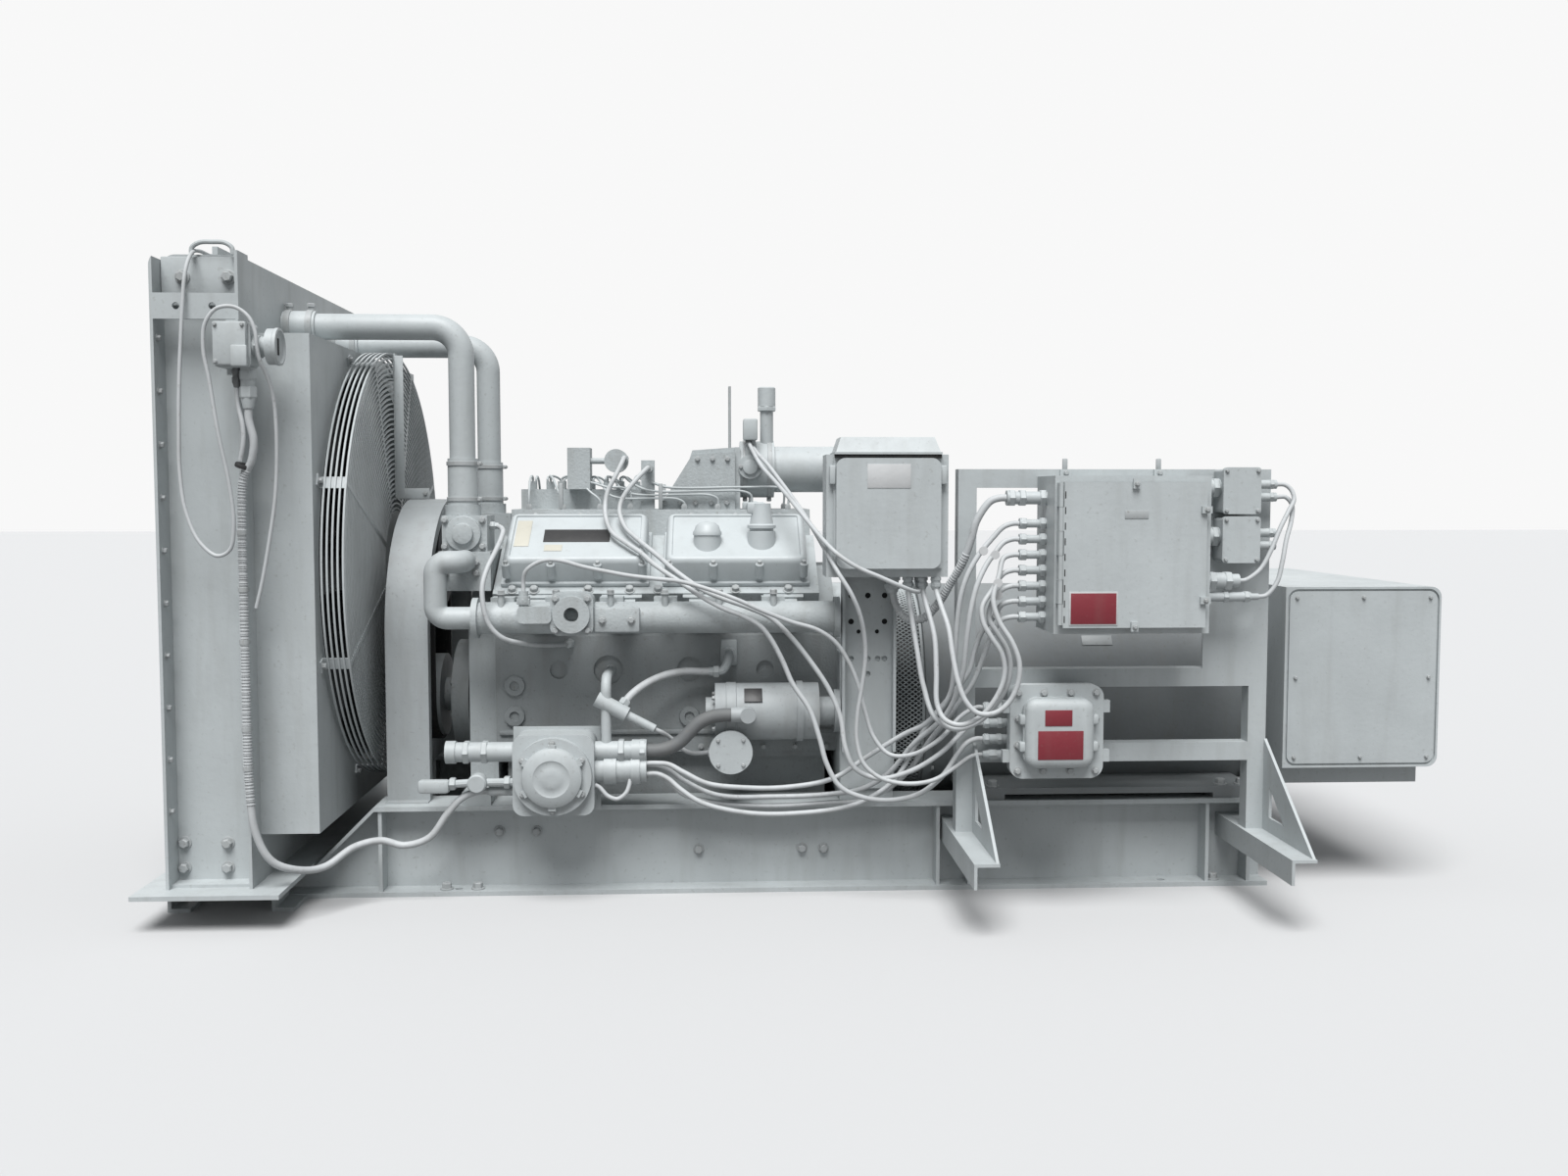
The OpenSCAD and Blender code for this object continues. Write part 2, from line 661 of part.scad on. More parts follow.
module radiator_top_tank() {
    x0 = rad_front + 15;
    color(paint) union() {
        slab([x0, rad_rear], [-core_w / 2, core_w / 2], [core_z1, radiator_top - 12]);
        rod_z(48, radiator_top - 12, radiator_top + 20, x0 + 90, 0);
        rod_z(9, radiator_top - 12, hose_z + 9, hose_x, hose_y + 30);
        rod_y(6, hose_y, hose_y + 30, hose_x, hose_z);
        for (y = [-core_w / 2 + 60, core_w / 2 - 160])
            difference() {
                slab([rad_rear - 110, rad_rear - 96], [y, y + 100],
                     [radiator_top - 12, radiator_top + 32]);
                rod_x(13, rad_rear - 111, rad_rear - 95, y + 50, radiator_top + 8);
            }
    }
}

module radiator_bottom_tank() {
    color(paint) slab([rad_front + 15, rad_rear], [-core_w / 2, core_w / 2],
                      [plate_top, core_z0]);
}

module fan_shroud() {
    y = core_w / 2 + 3;
    color(paint) union() {
        difference() {
            slab([rad_rear, shroud_rear], [-y, y], [shroud_low, core_z1]);
            slab([rad_rear - 1, shroud_rear - shroud_t], [-y + shroud_t, y - shroud_t],
                 [shroud_low + shroud_t, core_z1 - shroud_t]);
            rod_x(fan_r + 25, rad_rear, shroud_rear + 1, 0, fan_z);
        }
        along_x(shroud_rear - 70, shroud_rear)
            translate([0, fan_z]) ring(fan_r + 25 + shroud_t, fan_r + 25);
    }
}

module fan() {
    x = shroud_rear - 60;
    color(dark) union() {
        rod_x(fan_hub_r, x - 35, x + 35, 0, fan_z);
        rod_x(fan_shaft_r, x + 35, belt_rear - 20, 0, fan_z);
        rod_x(pulley_r, belt_front + 20, belt_rear - 20, 0, fan_z);
        translate([x, 0, fan_z]) intersection() {
            rotate([0, 90, 0]) cylinder(r = fan_r, h = 200, center = true);
            for (i = [0:fan_blades - 1])
                rotate([i * 360 / fan_blades, 0, 0]) rotate([0, 0, fan_pitch])
                    translate([-4, -75, fan_hub_r - 25]) cube([8, 150, fan_r]);
        }
    }
}

module fan_guard() {
    foot = 16;
    strap_w = 26;
    strap_t = 6;
    color(paint) union() {
        along_x(face_x, face_x + wire_t) translate([0, fan_z]) {
            for (r = [guard_r:-guard_pitch:170]) ring(r, r - wire_t);
            ring(160, fan_shaft_r + 12);
            for (a = [0:45:315])
                rotate(a + 22.5) translate([150, -6]) square([guard_r - 152, 12]);
        }
        for (i = [1:4])
            along_x(face_x - i * guard_depth / 5, face_x - i * guard_depth / 5 + wire_t)
                translate([0, fan_z]) ring(guard_r, guard_r - wire_t);
        translate([0, 0, fan_z]) for (a = [0:45:315]) rotate([a + 22.5, 0, 0]) {
            slab([shroud_rear, face_x + wire_t], [guard_r - wire_t - 4, guard_r - wire_t],
                 [-foot, foot]);
            slab([shroud_rear, shroud_rear + 4], [guard_r - wire_t - 4, guard_r + 18],
                 [-foot, foot]);
        }
        slab([face_x + wire_t - 1, face_x + wire_t + strap_t], [-strap_w / 2, strap_w / 2],
             [belt_guard_top, fan_z + guard_r]);
        slab([face_x + wire_t, belt_front + 40], [-strap_w / 2, strap_w / 2],
             [belt_guard_top, belt_guard_top + strap_t]);
    }
}

module arch(half, top) {
    translate([0, top - half]) circle(half);
    translate([-half, rail_h]) square([2 * half, top - half - rail_h]);
}

module belt_guard() {
    t = belt_guard_t;
    lip = 36;
    color(paint) difference() {
        union() {
            along_x(belt_front, belt_rear) arch(belt_guard_half, belt_guard_top);
            for (y = [-belt_guard_half - 30, belt_guard_half])
                slab([belt_front, belt_rear], [y, y + 30], [rail_h, rail_h + t]);
        }
        difference() {
            along_x(belt_front + t, belt_rear - t)
                arch(belt_guard_half - t, belt_guard_top - t);
        }
        along_x(belt_rear - t - 1, belt_rear + 1)
            arch(belt_guard_half - lip, belt_guard_top - lip);
        slab([belt_front + t, belt_rear + 1], [-rail_in - 40, rail_in + 40],
             [rail_h - 1, rail_h + 60]);
        rod_x(fan_shaft_r + 8, belt_front - 1, belt_front + t + 1, 0, fan_z);
    }
}

module fan_bearing() {
    color(cast) difference() {
        union() {
            rod_x(70, belt_front - 14, belt_front, 0, fan_z);
            rod_x(52, face_x + wire_t + 6, belt_front - 14, 0, fan_z);
        }
        rod_x(fan_shaft_r + run, face_x, belt_front + 1, 0, fan_z);
    }
}

module belt_path(r) {
    translate([0, crank_z]) circle(r);
    translate([0, fan_z]) circle(r);
    translate([-r, crank_z]) square([2 * r, fan_z - crank_z]);
}

module drive_belt() {
    color(dark) along_x(belt_front + 30, belt_rear - 30) difference() {
        belt_path(pulley_r + 0.4 + 12);
        belt_path(pulley_r + 0.4);
    }
}

module crank_damper() {
    color(cast) union() {
        rod_x(crank_r, damper_front, gear_front + 50, 0, crank_z);
        difference() {
            rod_x(damper_r, damper_front, damper_rear, 0, crank_z);
            along_x(damper_front - 1, damper_front + 10)
                translate([0, crank_z]) ring(damper_r - 22, damper_r - 30);
        }
        rod_x(95, damper_front - 16, damper_front, 0, crank_z);
        rod_x(crank_r + 6, belt_rear - 20, damper_front - 16, 0, crank_z);
        rod_x(pulley_r, belt_front + 20, belt_rear - 20, 0, crank_z);
    }
}

module engine_block() {
    // Distance of a core plug from the block's front, and its radius
    core_plugs = [[179, 25], [320, 42], [552, 36], [769, 25]];
    p1 = bank(-cover_half, deck_h);
    p2 = bank(cover_half, deck_h);
    s = [-block_half, p1[1] - 50];
    b = [-block_half, pan_z];
    color(cast) difference() {
        along_x(block_front, block_rear) polygon([
            b, s, p1, p2, [0, valley_z], flip(p2), flip(p1), flip(s), flip(b)]);
        for (plug = core_plugs) for (k = [-1, 1])
            rod_y(plug[1] * u, k > 0 ? block_half - 8 : -block_half - 1,
                  k > 0 ? block_half + 1 : -block_half + 8,
                  block_front + plug[0] * u, crank_z + 112 * u);
    }
}

module oil_pan() {
    w = rail_in - 30;
    color(cast) along_x(block_front + 25, block_rear - 30) polygon([
        [-block_half + 20, pan_z], [-block_half + 20, pan_z - 20], [-w, pan_z - 20],
        [-w, pan_z - pan_h + 60], [-w + 60, pan_z - pan_h], [w - 60, pan_z - pan_h],
        [w, pan_z - pan_h + 60], [w, pan_z - 20], [block_half - 20, pan_z - 20],
        [block_half - 20, pan_z]]);
}

module front_engine_support() {
    color(paint) union() {
        slab([gear_front, block_front], [-rail_out + 10, rail_out - 10],
             [gear_low - 12, gear_low]);
        for (y = [-rail_out + 10, rail_out - 110])
            slab([gear_front, block_front], [y, y + 100], [rail_h, gear_low - 12]);
    }
}

module gear_housing() {
    c = 90 * u;
    h = 300 * u;
    color(cast) difference() {
        union() {
            along_x(gear_front, block_front) polygon([
                [-h, gear_low], [-h, gear_top - c], [-h + c, gear_top],
                [h - c, gear_top], [h, gear_top - c], [h, gear_low]]);
            rod_x(crank_r + 40, gear_front - 14, gear_front, 0, crank_z);
        }
        rod_x(crank_r + run, gear_front - 15, gear_front + 50.3, 0, crank_z);
    }
}

module flywheel_housing() {
    color(cast) union() {
        rod_x(flywheel_r, block_rear, fly_rear, 0, crank_z);
        for (k = [-1, 1])
            slab([block_rear, fly_rear], k > 0 ? [200, rail_out - 5] : [-rail_out + 5, -200],
                 [rail_h, rail_h + 140]);
        slab([block_rear, fly_rear], [-rail_out + 5, -200], [rail_h, rail_h + 420]);
    }
}

module cylinder_head() {
    color(cast) union() {
        slab([block_front + 5, block_rear - 55], [-cover_half, cover_half],
             [deck_h + gasket, deck_h + head_h]);
        slab([block_front + 5, block_rear - 55], [-cover_half - head_step, -cover_half],
             [deck_h + 40, deck_h + head_h]);
    }
}

module cylinder_heads() {
    for (side = ["left", "right"]) in_bank(side) cylinder_head();
}

module rocker_cover(i) {
    z = deck_h + head_h;
    x = block_front + 24 + cover_len / 2 + i * cover_pitch;
    color(pale) translate([x, 0, z]) union() {
        linear_extrude(14) rounded(cover_len, 2 * cover_half, 22);
        translate([0, 0, 14]) linear_extrude(cover_h - 38)
            rounded(cover_len - 26, 2 * cover_half - 26, 26);
        translate([0, 0, cover_h - 24]) linear_extrude(14)
            rounded(cover_len - 6, 2 * cover_half - 6, 30);
        translate([0, 0, cover_h - 10]) linear_extrude(10)
            rounded(cover_len - 40, 2 * cover_half - 40, 34);
        if (i == 1) {
            translate([-cover_len / 2 + 120, -30, cover_h]) cylinder(r = 46, h = 22);
            translate([-cover_len / 2 + 120, -30, cover_h + 22]) cylinder(r = 38, h = 12);
            translate([-cover_len / 2 + 280, 20, cover_h]) cylinder(r = 34, h = 40);
            translate([-cover_len / 2 + 280, 20, cover_h + 40]) cylinder(r = 55, h = 30);
        }
    }
}

module rocker_covers() {
    for (side = ["left", "right"]) for (i = [0, 1]) in_bank(side) rocker_cover(i);
}

module exhaust_manifold() {
    x0 = block_front - 38 * u;
    x1 = block_rear - 4;
    face = -cover_half - head_step;
    mid = deck_h + head_h - 34;
    color(cast) union() {
        rod_x(manifold_r, x0, x1, manifold_y, manifold_z);
        for (x = [x0, x1 - 16]) rod_x(manifold_r + 12, x, x + 16, manifold_y, manifold_z);
        translate([0, 0, crank_z]) rotate([bank_angle, 0, 0])
            for (i = [0:3]) translate([block_front + 24 + cover_pitch * (i + 0.5) / 2, 0, 0]) {
                slab([-56, 56], [face - 14, face], [mid - 30, mid + 30]);
                slab([-38, 38], [face - 90, face - 14], [mid - 24, mid + 24]);
            }
        for (i = [0:5]) {
            x = block_front + (42 + i * 149) * u;
            slab([x - 32, x + 32], [manifold_y, manifold_y + 62],
                 [manifold_z + manifold_r - 14, manifold_z + manifold_r + 12]);
            rod_z(9, manifold_z, manifold_z + manifold_r + 22, x, manifold_y - 22);
        }
    }
}

// Water outlet and conduit fitting on the front of the left manifold
module manifold_outlet() {
    x = block_front + 238 * u;
    w = 116;
    y = manifold_y - manifold_r;
    color(cast) difference() {
        union() {
            translate([x, 0, manifold_z + 15]) along_y(y - 28, manifold_y) rounded(w, w, 24);
            rod_y(50, y - 46, y - 28, x, manifold_z + 15);
            translate([neck_x + 30, 0, manifold_z + 14]) along_y(neck_y - 18, neck_y + 18)
                rounded(92, 46, 14);
            rod_z(13, manifold_z + 36, neck_z, neck_x, neck_y);
            rod_z(18, manifold_z + 48, manifold_z + 64, neck_x, neck_y);
        }
        rod_y(20, y - 47, manifold_y - 10, x, manifold_z + 15);
    }
}

module exhaust_manifolds() {
    union() {
        exhaust_manifold();
        manifold_outlet();
    }
    mirror([0, 1, 0]) exhaust_manifold();
}

module valley_housing() {
    a = bank(cover_half, deck_h);
    b = bank(cover_half, deck_h + head_h);
    c = [b[0] + 9, valley_top];
    color(cast) along_x(block_front + 25, block_rear - 65) polygon([
        [0, valley_z], a, b, c, flip(c), flip(b), flip(a)]);
}

module injection_pump() {
    x0 = block_front + 45 * u;
    z = valley_top + 60 * u;
    color(cast) union() {
        slab([x0, x0 + 375 * u], [-80 * u, 80 * u], [valley_top, z]);
        for (i = [0:7])
            rod_z(13 * u, z, z + 24 * u, x0 + (30 + i * 44) * u, (i % 2 == 0 ? -40 : 40) * u);
        slab([x0 + 143 * u, x0 + 210 * u], [-130 * u, -50 * u], [z, z + 123 * u]);
        rod_x(9 * u, x0 + 210 * u, x0 + 262 * u, -112 * u, gauge_z - 7);
        rod_y(35 * u, -140 * u, -95 * u, gauge_x - 27 * u, gauge_z - 7);
        rod_y(11, gauge_y, -140 * u, gauge_x, gauge_z);
        slab([bracket_x - 22 * u, bracket_x + 17 * u], [-130 * u, -100 * u],
             [valley_top, bracket_z + 24]);
        rod_y(13, gauge_y, -130 * u, bracket_x, bracket_z);
    }
}

module aftercooler() {
    x0 = block_front + 457 * u;
    x1 = x0 + 230 * u;
    z = valley_top;
    color(cast) union() {
        along_y(-120 * u, 120 * u) polygon([
            [x0, z], [x1, z], [x1, z + 172 * u], [x0 + 102 * u, z + 163 * u]]);
        for (y = [-90, -30, 30, 80])
            along_y(y * u, (y + 10) * u) polygon([
                [x0 + 90 * u, z + 140 * u], [x1, z + 160 * u], [x1, z + 186 * u],
                [x0 + 102 * u, z + 177 * u]]);
    }
}

module air_intake_pipe() {
    x0 = block_front + 687 * u;
    y = -20 * u;
    z = valley_top + 121 * u;
    w = 16 * u;
    color(paint) union() {
        slab([x0, x0 + w], [-105 * u, 105 * u], [valley_top, valley_top + 186 * u]);
        rod_x(intake_r + w, x0 + w, x0 + 120 * u, y, z);
        rod_x(intake_r, x0 + 120 * u, x0 + 420 * u, y, z);
        rod_x(intake_r + w, x0 + 420 * u, x0 + 436 * u, y, z);
        rod_z(20 * u, z + 70 * u, z + 190 * u, x0 + 98 * u, -40 * u);
        rod_z(27 * u, z + 190 * u, z + 246 * u, x0 + 98 * u, -40 * u);
    }
}

module thermostat_housing() {
    x0 = gear_front - 65 * u;
    x1 = block_front - 10 * u;
    z1 = gear_top + 110 * u;
    z2 = gear_top + 210 * u;
    color(cast) union() {
        slab([x0, block_front], [-400 * u, 210 * u], [gear_top, z1]);
        slab([x0 + 10 * u, x1], [-390 * u, -255 * u], [z1, z2]);
        slab([x0 + 10 * u, x1], [80 * u, 205 * u], [z1, z2]);
        for (y = coolant_y)
            rod_z(coolant_r + 14, z2, z2 + 30 * u, x0 + 60 * u, y);
    }
}

module coolant_pipe(y, z) {
    x = gear_front - 5 * u;
    z1 = gear_top + 240 * u;
    bend = 80 * u;
    sleeve = 90 * u;
    color(paint) union() {
        rod_x(coolant_r + 7, rad_rear, rad_rear + sleeve, y, z);
        rod_x(coolant_r, rad_rear + sleeve, x - bend, y, z);
        translate([x - bend, y, z - bend]) rotate([90, 0, 0])
            rotate_extrude(angle = 90) translate([bend, 0]) circle(coolant_r);
        rod_z(coolant_r, z1 + 130 * u, z - bend, x, y);
        rod_z(coolant_r + 6, z1, z1 + 130 * u, x, y);
    }
}

module coolant_pipes() {
    coolant_pipe(coolant_y[0], core_z1 + 52);
    coolant_pipe(coolant_y[1], core_z1 + 48);
}

module bypass_elbow() {
    x0 = gear_front + 10 * u;
    x1 = gear_front - 60 * u;
    z = gear_top + 84 * u;
    color(paint) difference() {
        bent_pipe([[x0, -390 * u, z], [x0, manifold_y, z], [x1, manifold_y, z],
                   [x1, manifold_y, manifold_z], [block_front - 38 * u, manifold_y, manifold_z]],
                  31 * u, 34 * u);
        slab([x0 - 60 * u, x0 + 60 * u], [-400 * u, -300 * u],
             [gear_top + 20 * u, gear_top + 140 * u]);
    }
}

module starter_motor() {
    x1 = block_rear;
    color(paint) union() {
        rod_x(starter_r - 20, x1 - 16, x1, starter_y, starter_z);
        rod_x(starter_r / 2, x1 - starter_nose, x1, starter_y, starter_z);
        rod_x(starter_r, x1 - starter_len, x1 - starter_nose, starter_y, starter_z);
        rod_x(starter_r + 5, x1 - starter_nose - 62, x1 - starter_nose - 44, starter_y, starter_z);
        rod_x(starter_r / 2, x1 - starter_len - 26, x1 - starter_len, starter_y, starter_z);
        rod_y(21, starter_y - 122, starter_y, x1 - 260, starter_z + 5);
        rod_x(21, elbow_x, x1 - 260, elbow_y, elbow_z);
    }
}

module starter_box() {
    x = block_rear - starter_len + 43;
    z = starter_z - starter_r - 20;
    color(paint) difference() {
        union() {
            rod_y(54, starter_y - 84, starter_y + 30, x, z);
            rod_y(60, starter_y - 98, starter_y - 84, x, z);
        }
        rod_x(starter_r + run, x - 100, x + 100, starter_y, starter_z);
    }
}

module coupling_screen() {
    color(paint) difference() {
        rod_x(flywheel_r - 12, fly_rear, barrel_front, 0, crank_z);
        rod_x(flywheel_r - 12 - screen_t, fly_rear - 1, barrel_front + 1, 0, crank_z);
    }
}

module generator_barrel() {
    x0 = barrel_front + 90;
    x1 = barrel_rear - 60;
    color(paint) union() {
        rod_x(barrel_r, barrel_front, barrel_front + 24, 0, crank_z);
        rod_x(barrel_r - 14, barrel_front + 24, barrel_rear - 28, 0, crank_z);
        rod_x(barrel_r, barrel_rear - 28, barrel_rear, 0, crank_z);
        for (k = [-1, 1]) {
            slab([x0, x1], k > 0 ? [180, rail_out - 8] : [-rail_out + 8, -180],
                 [rail_h + 16, rail_h + 34]);
            for (x = [x0, x1 - 120])
                slab([x, x + 120], k > 0 ? [rail_in, rail_out - 8] : [-rail_out + 8, -rail_in],
                     [rail_h, rail_h + 16]);
        }
    }
}

module generator_end_housing() {
    r = end_corner;
    z = (end_low + end_top) / 2;
    h = end_top - end_low;
    color(paint) union() {
        rod_x(260, barrel_rear, end_rear - 60, 0, crank_z);
        difference() {
            along_y(-end_w / 2, end_w / 2) union() {
                translate([barrel_rear + end_len / 2, z]) rounded(end_len, h, r);
                translate([barrel_rear, end_low]) square([end_len / 2, h]);
            }
            for (k = [-1, 1])
                along_y(k > 0 ? end_w / 2 - 6 : -end_w / 2 - 1,
                        k > 0 ? end_w / 2 + 1 : -end_w / 2 + 6)
                    difference() {
                        translate([barrel_rear + end_len / 2, z])
                            rounded(end_len - 12, h - 12, r);
                        translate([barrel_rear + end_len / 2, z])
                            rounded(end_len - 24, h - 24, r - 6);
                    }
        }
        slab([barrel_rear, end_rear - 30], [-end_w / 2 + end_foot_in, end_w / 2 - end_foot_in],
             [end_low - end_foot_h, end_low]);
    }
}

module control_frame() {
    t = frame_tube;
    y = [-frame_y, -frame_y + t];
    z0 = outrigger_top;
    color(paint) union() {
        for (x = [frame_x0, frame_x1 - t]) slab([x, x + t], y, [z0, frame_top - t]);
        slab([frame_x0, frame_x1], y, [frame_top - t, frame_top]);
        for (z = [crank_z + 90, crank_z - 115])
            slab([frame_x0 + t, frame_x1 - t], y, [z, z + t]);
        slab([frame_x1 - t - 130, frame_x1 - t], [-frame_y, -frame_y + 6],
             [crank_z + 90 + t, frame_top - t]);
    }
}

module outrigger(x) {
    t = 8;
    y0 = -outrigger_y;
    y1 = -(rail_gauge + rail_web_t) / 2;
    g = 250;
    difference() {
        union() {
            slab([x, x + outrigger_w], [y0, y1], [outrigger_top - t, outrigger_top]);
            slab([x, x + t], [y0, y1], [outrigger_top - outrigger_w, outrigger_top - t]);
            along_x(x + outrigger_w - t, x + outrigger_w) polygon([
                [-frame_y, outrigger_top], [-outrigger_y + 10, outrigger_top],
                [-frame_y, outrigger_top + g]]);
        }
        along_x(x + outrigger_w - t - 1, x + outrigger_w + 1) polygon([
            [-frame_y - 45, outrigger_top + 40], [-frame_y - 150, outrigger_top + 40],
            [-frame_y - 45, outrigger_top + 125]]);
    }
}

module control_outriggers() {
    color(paint) {
        outrigger(frame_x0 - 12);
        outrigger(frame_x1 - outrigger_w + 4);
    }
}

module control_box() {
    t = 3;
    lip = 14;
    mid = box_left + box_w / 2;
    pin = knuckle_r - 2.5;
    color(paint) union() {
        difference() {
            slab([box_left, box_left + box_w], [box_front, -frame_y], [box_z0, box_z0 + box_w]);
            slab([box_left + t, box_left + box_w - t], [box_front + t, -frame_y - t],
                 [box_z0 + t, box_z0 + box_w - t]);
            slab([box_left + lip + 14, box_left + box_w - lip - 14], [box_front - 1, box_front + t + 1],
                 [box_z0 + lip + 14, box_z0 + box_w - lip - 14]);
        }
        for (x = [box_left + 60, box_left + box_w - 90])
            slab([x, x + 30], [-frame_y - 8, -frame_y], [box_z0 + box_w, box_z0 + box_w + 19]);
        for (i = [0:2]) {
            z = box_z0 + (box_w - door_w) / 2 + door_w * (2 * i + 0.5) / 6 + door_w / 12;
            slab([hinge_x - knuckle_r, hinge_x - 1], [hinge_y, box_front], [z, z + door_w / 6 - 1]);
            rod_z(knuckle_r, z, z + door_w / 6 - 1, hinge_x, hinge_y);
        }
        rod_z(pin, box_z0 + (box_w - door_w) / 2 + 8,
              box_z0 + (box_w + door_w) / 2 - 8, hinge_x, hinge_y);
    }
}

module control_box_door() {
    z0 = box_z0 + (box_w - door_w) / 2;
    x0 = hinge_x + knuckle_r;
    pin = knuckle_r - 2.5;
    color(paint) difference() {
        union() {
            slab([x0 + 2, x0 + door_w], [hinge_y, hinge_y + door_t], [z0, z0 + door_w]);
            for (i = [0:2]) {
                z = z0 + door_w * (2 * i - 0.5) / 6 + door_w / 12 + (i == 0 ? 8 : 0);
                h = door_w / 6 - 1 - (i == 0 ? 8 : 0);
                rod_z(knuckle_r, z, z + h, hinge_x, hinge_y);
                slab([hinge_x, x0 + 3], [hinge_y, hinge_y + knuckle_r], [z, z + h]);
            }
            for (z = [z0 + 70, z0 + door_w - 70])
                slab([x0 + door_w - 16, x0 + door_w + 10], [hinge_y - 9, hinge_y], [z - 9, z + 9]);
            for (z = [z0 - 9, z0 + door_w - 16])
                slab([x0 + door_w / 2 - 9, x0 + door_w / 2 + 9], [hinge_y - 9, hinge_y], [z, z + 25]);
        }
        rod_z(pin + run, z0 - 1, z0 + door_w + 1, hinge_x, hinge_y);
        slab([x0 + 14, x0 + door_w - 12], [hinge_y + 3, hinge_y + door_t + 1],
             [z0 + 12, z0 + door_w - 12]);
    }
}

module cable_glands() {
    y = gland_y;
    color(paint) for (i = [0:7]) {
        z = gland_z(i);
        r = i == 7 ? 20 : 14;
        l = i == 7 ? entry_len : gland_len;
        union() {
            rod_x(r, box_left - 18, box_left, y, z);
            rod_x(r - 3, box_left - l + 18, box_left - 18, y, z);
            rod_x(r, box_left - l, box_left - l + 18, y, z);
        }
    }
    x1 = box_left + box_w;
    color(paint) for (fit = [[22, 112, 130], [13, 166, 87]]) {
        rod_x(fit[0], x1, x1 + fit[1] - 22, y, box_z0 + fit[2]);
        rod_x(fit[0] - 4, x1 + fit[1] - 22, x1 + fit[1], y, box_z0 + fit[2]);
    }
}

module side_boxes() {
    x = side_x;
    color(paint) for (z = [box_z0 + 180, box_z0 + 310])
        union() {
            translate([x + 47, 0, z + 58]) along_y(-frame_y - 75, -frame_y) rounded(94, 116, 8);
            translate([x + 47, 0, z + 58]) along_y(-frame_y - 87, -frame_y - 75) rounded(102, 124, 10);
            rod_x(24, box_left + box_w, x, -frame_y - 40, z + 66);
            for (k = [-17, 17])
                rod_x(12, x + side_w, x + side_w + 62, -frame_y - 40, z + 58 + k);
        }
}

module flameproof_box() {
    y = -frame_y;
    color(paint) translate([flame_x, 0, flame_z]) union() {
        along_y(y - flame_d + 60, y) rounded(flame_w - 30, flame_w - 30, 24);
        along_y(y - flame_d + 22, y - flame_d + 60) rounded(flame_w - 8, flame_w - 8, 34);
        along_y(y - flame_d, y - flame_d + 22) rounded(flame_w - 70, flame_w - 70, 40);
        for (i = [-1, 1]) for (j = [-1, 1])
            slab(i > 0 ? [flame_w / 2 - 6, flame_w / 2 + 14] : [-flame_w / 2 - 14, -flame_w / 2 + 6],
                 [y - flame_d + 26, y - flame_d + 46], j > 0 ? [50, 82] : [-82, -50]);
        for (i = [0:2])
            rod_x(inlet_r, inlet_x - flame_x, -flame_w / 2 + 16, inlet_y, inlet_z(i) - flame_z);
    }
}

module round_box() {
    riser = block_front + 327 * u;
    plug_z = crank_z + 112 * u;
    x = round_x;
    y = -rail_out;
    z = round_z;
    d = round_d;
    color(paint) union() {
        slab([x - 120, x + 120], [y - 8, y], [rail_h - 12, z + 118]);
        along_y(y - 108, y - 8) translate([x, z]) rounded(2 * d, 2 * d, 30);
        rod_y(round_r, y - 132, y - 108, x, z);
        rod_y(round_r - 24, y - 146, y - 132, x, z);
        for (a = [30:60:330])
            translate([x, 0, z]) rotate([0, a, 0])
                slab([round_r - 40, round_r - 16], [y - 146, y - 132], [-10, 10]);
        rod_x(27, x - d - 158, x - d, round_y, z + 58);
        rod_x(31, x - d - 185, x - d - 158, round_y, z + 58);
        rod_x(13, x - d - 70, x - d, round_y, z - 50);
        rod_x(27, x + d, round_in - 40, round_y, z + 58);
        rod_x(31, round_in - 40, round_in, round_y, z + 58);
        rod_x(34, x + d, round_in, round_y, z + 6);
        rod_x(40, x + d + 24, x + d + 58, round_y, z + 6);
        rod_x(40, round_in - 42, round_in - 18, round_y, z + 6);
        bent_pipe([[riser, round_y, z + 58], [riser, round_y, plug_z], [riser, -block_half + 8, plug_z]],
                  14, 40);
        stick([riser - 26, round_y, z + 203], [riser + 56, round_y, z + 158], 21);
        stick([riser + 56, round_y, z + 158], [riser + 132, round_y, z + 118], 12);
    }
}

module hooded_box() {
    x0 = hood_x;
    x1 = hood_x + hood_w;
    m = hood_margin;
    z1 = hood_z + hood_h - hood_rise;
    y0 = hood_y1 - hood_d;
    taper = 14;
    color(paint) union() {
        slab([x0, x1], [y0 + 30, hood_y1], [hood_z, z1]);
        slab([x0 + m - 6, x1 - m + 6], [y0 + 22, y0 + 30], [hood_z + m, z1 - 4]);
        translate([(x0 + x1) / 2, 0, (hood_z + m + z1 - 10) / 2])
            along_y(y0, y0 + 22) rounded(hood_w - 2 * m, z1 - 10 - hood_z - m, 24);
        slab([x0 + m - 4, x1 - m + 4], [y0 + 6, hood_y1], [z1, z1 + 6]);
        intersection() {
            along_y(y0, hood_y1) polygon([
                [x0 + m, z1 + 6], [x1 - m, z1 + 6],
                [x1 - m - taper, hood_z + hood_h], [x0 + m + taper, hood_z + hood_h]]);
            along_x(x0, x1) polygon([
                [y0 + 10, z1 + 6], [hood_y1, z1 + 6],
                [hood_y1, hood_z + hood_h], [y0 + 30, hood_z + hood_h]]);
        }
    }
}

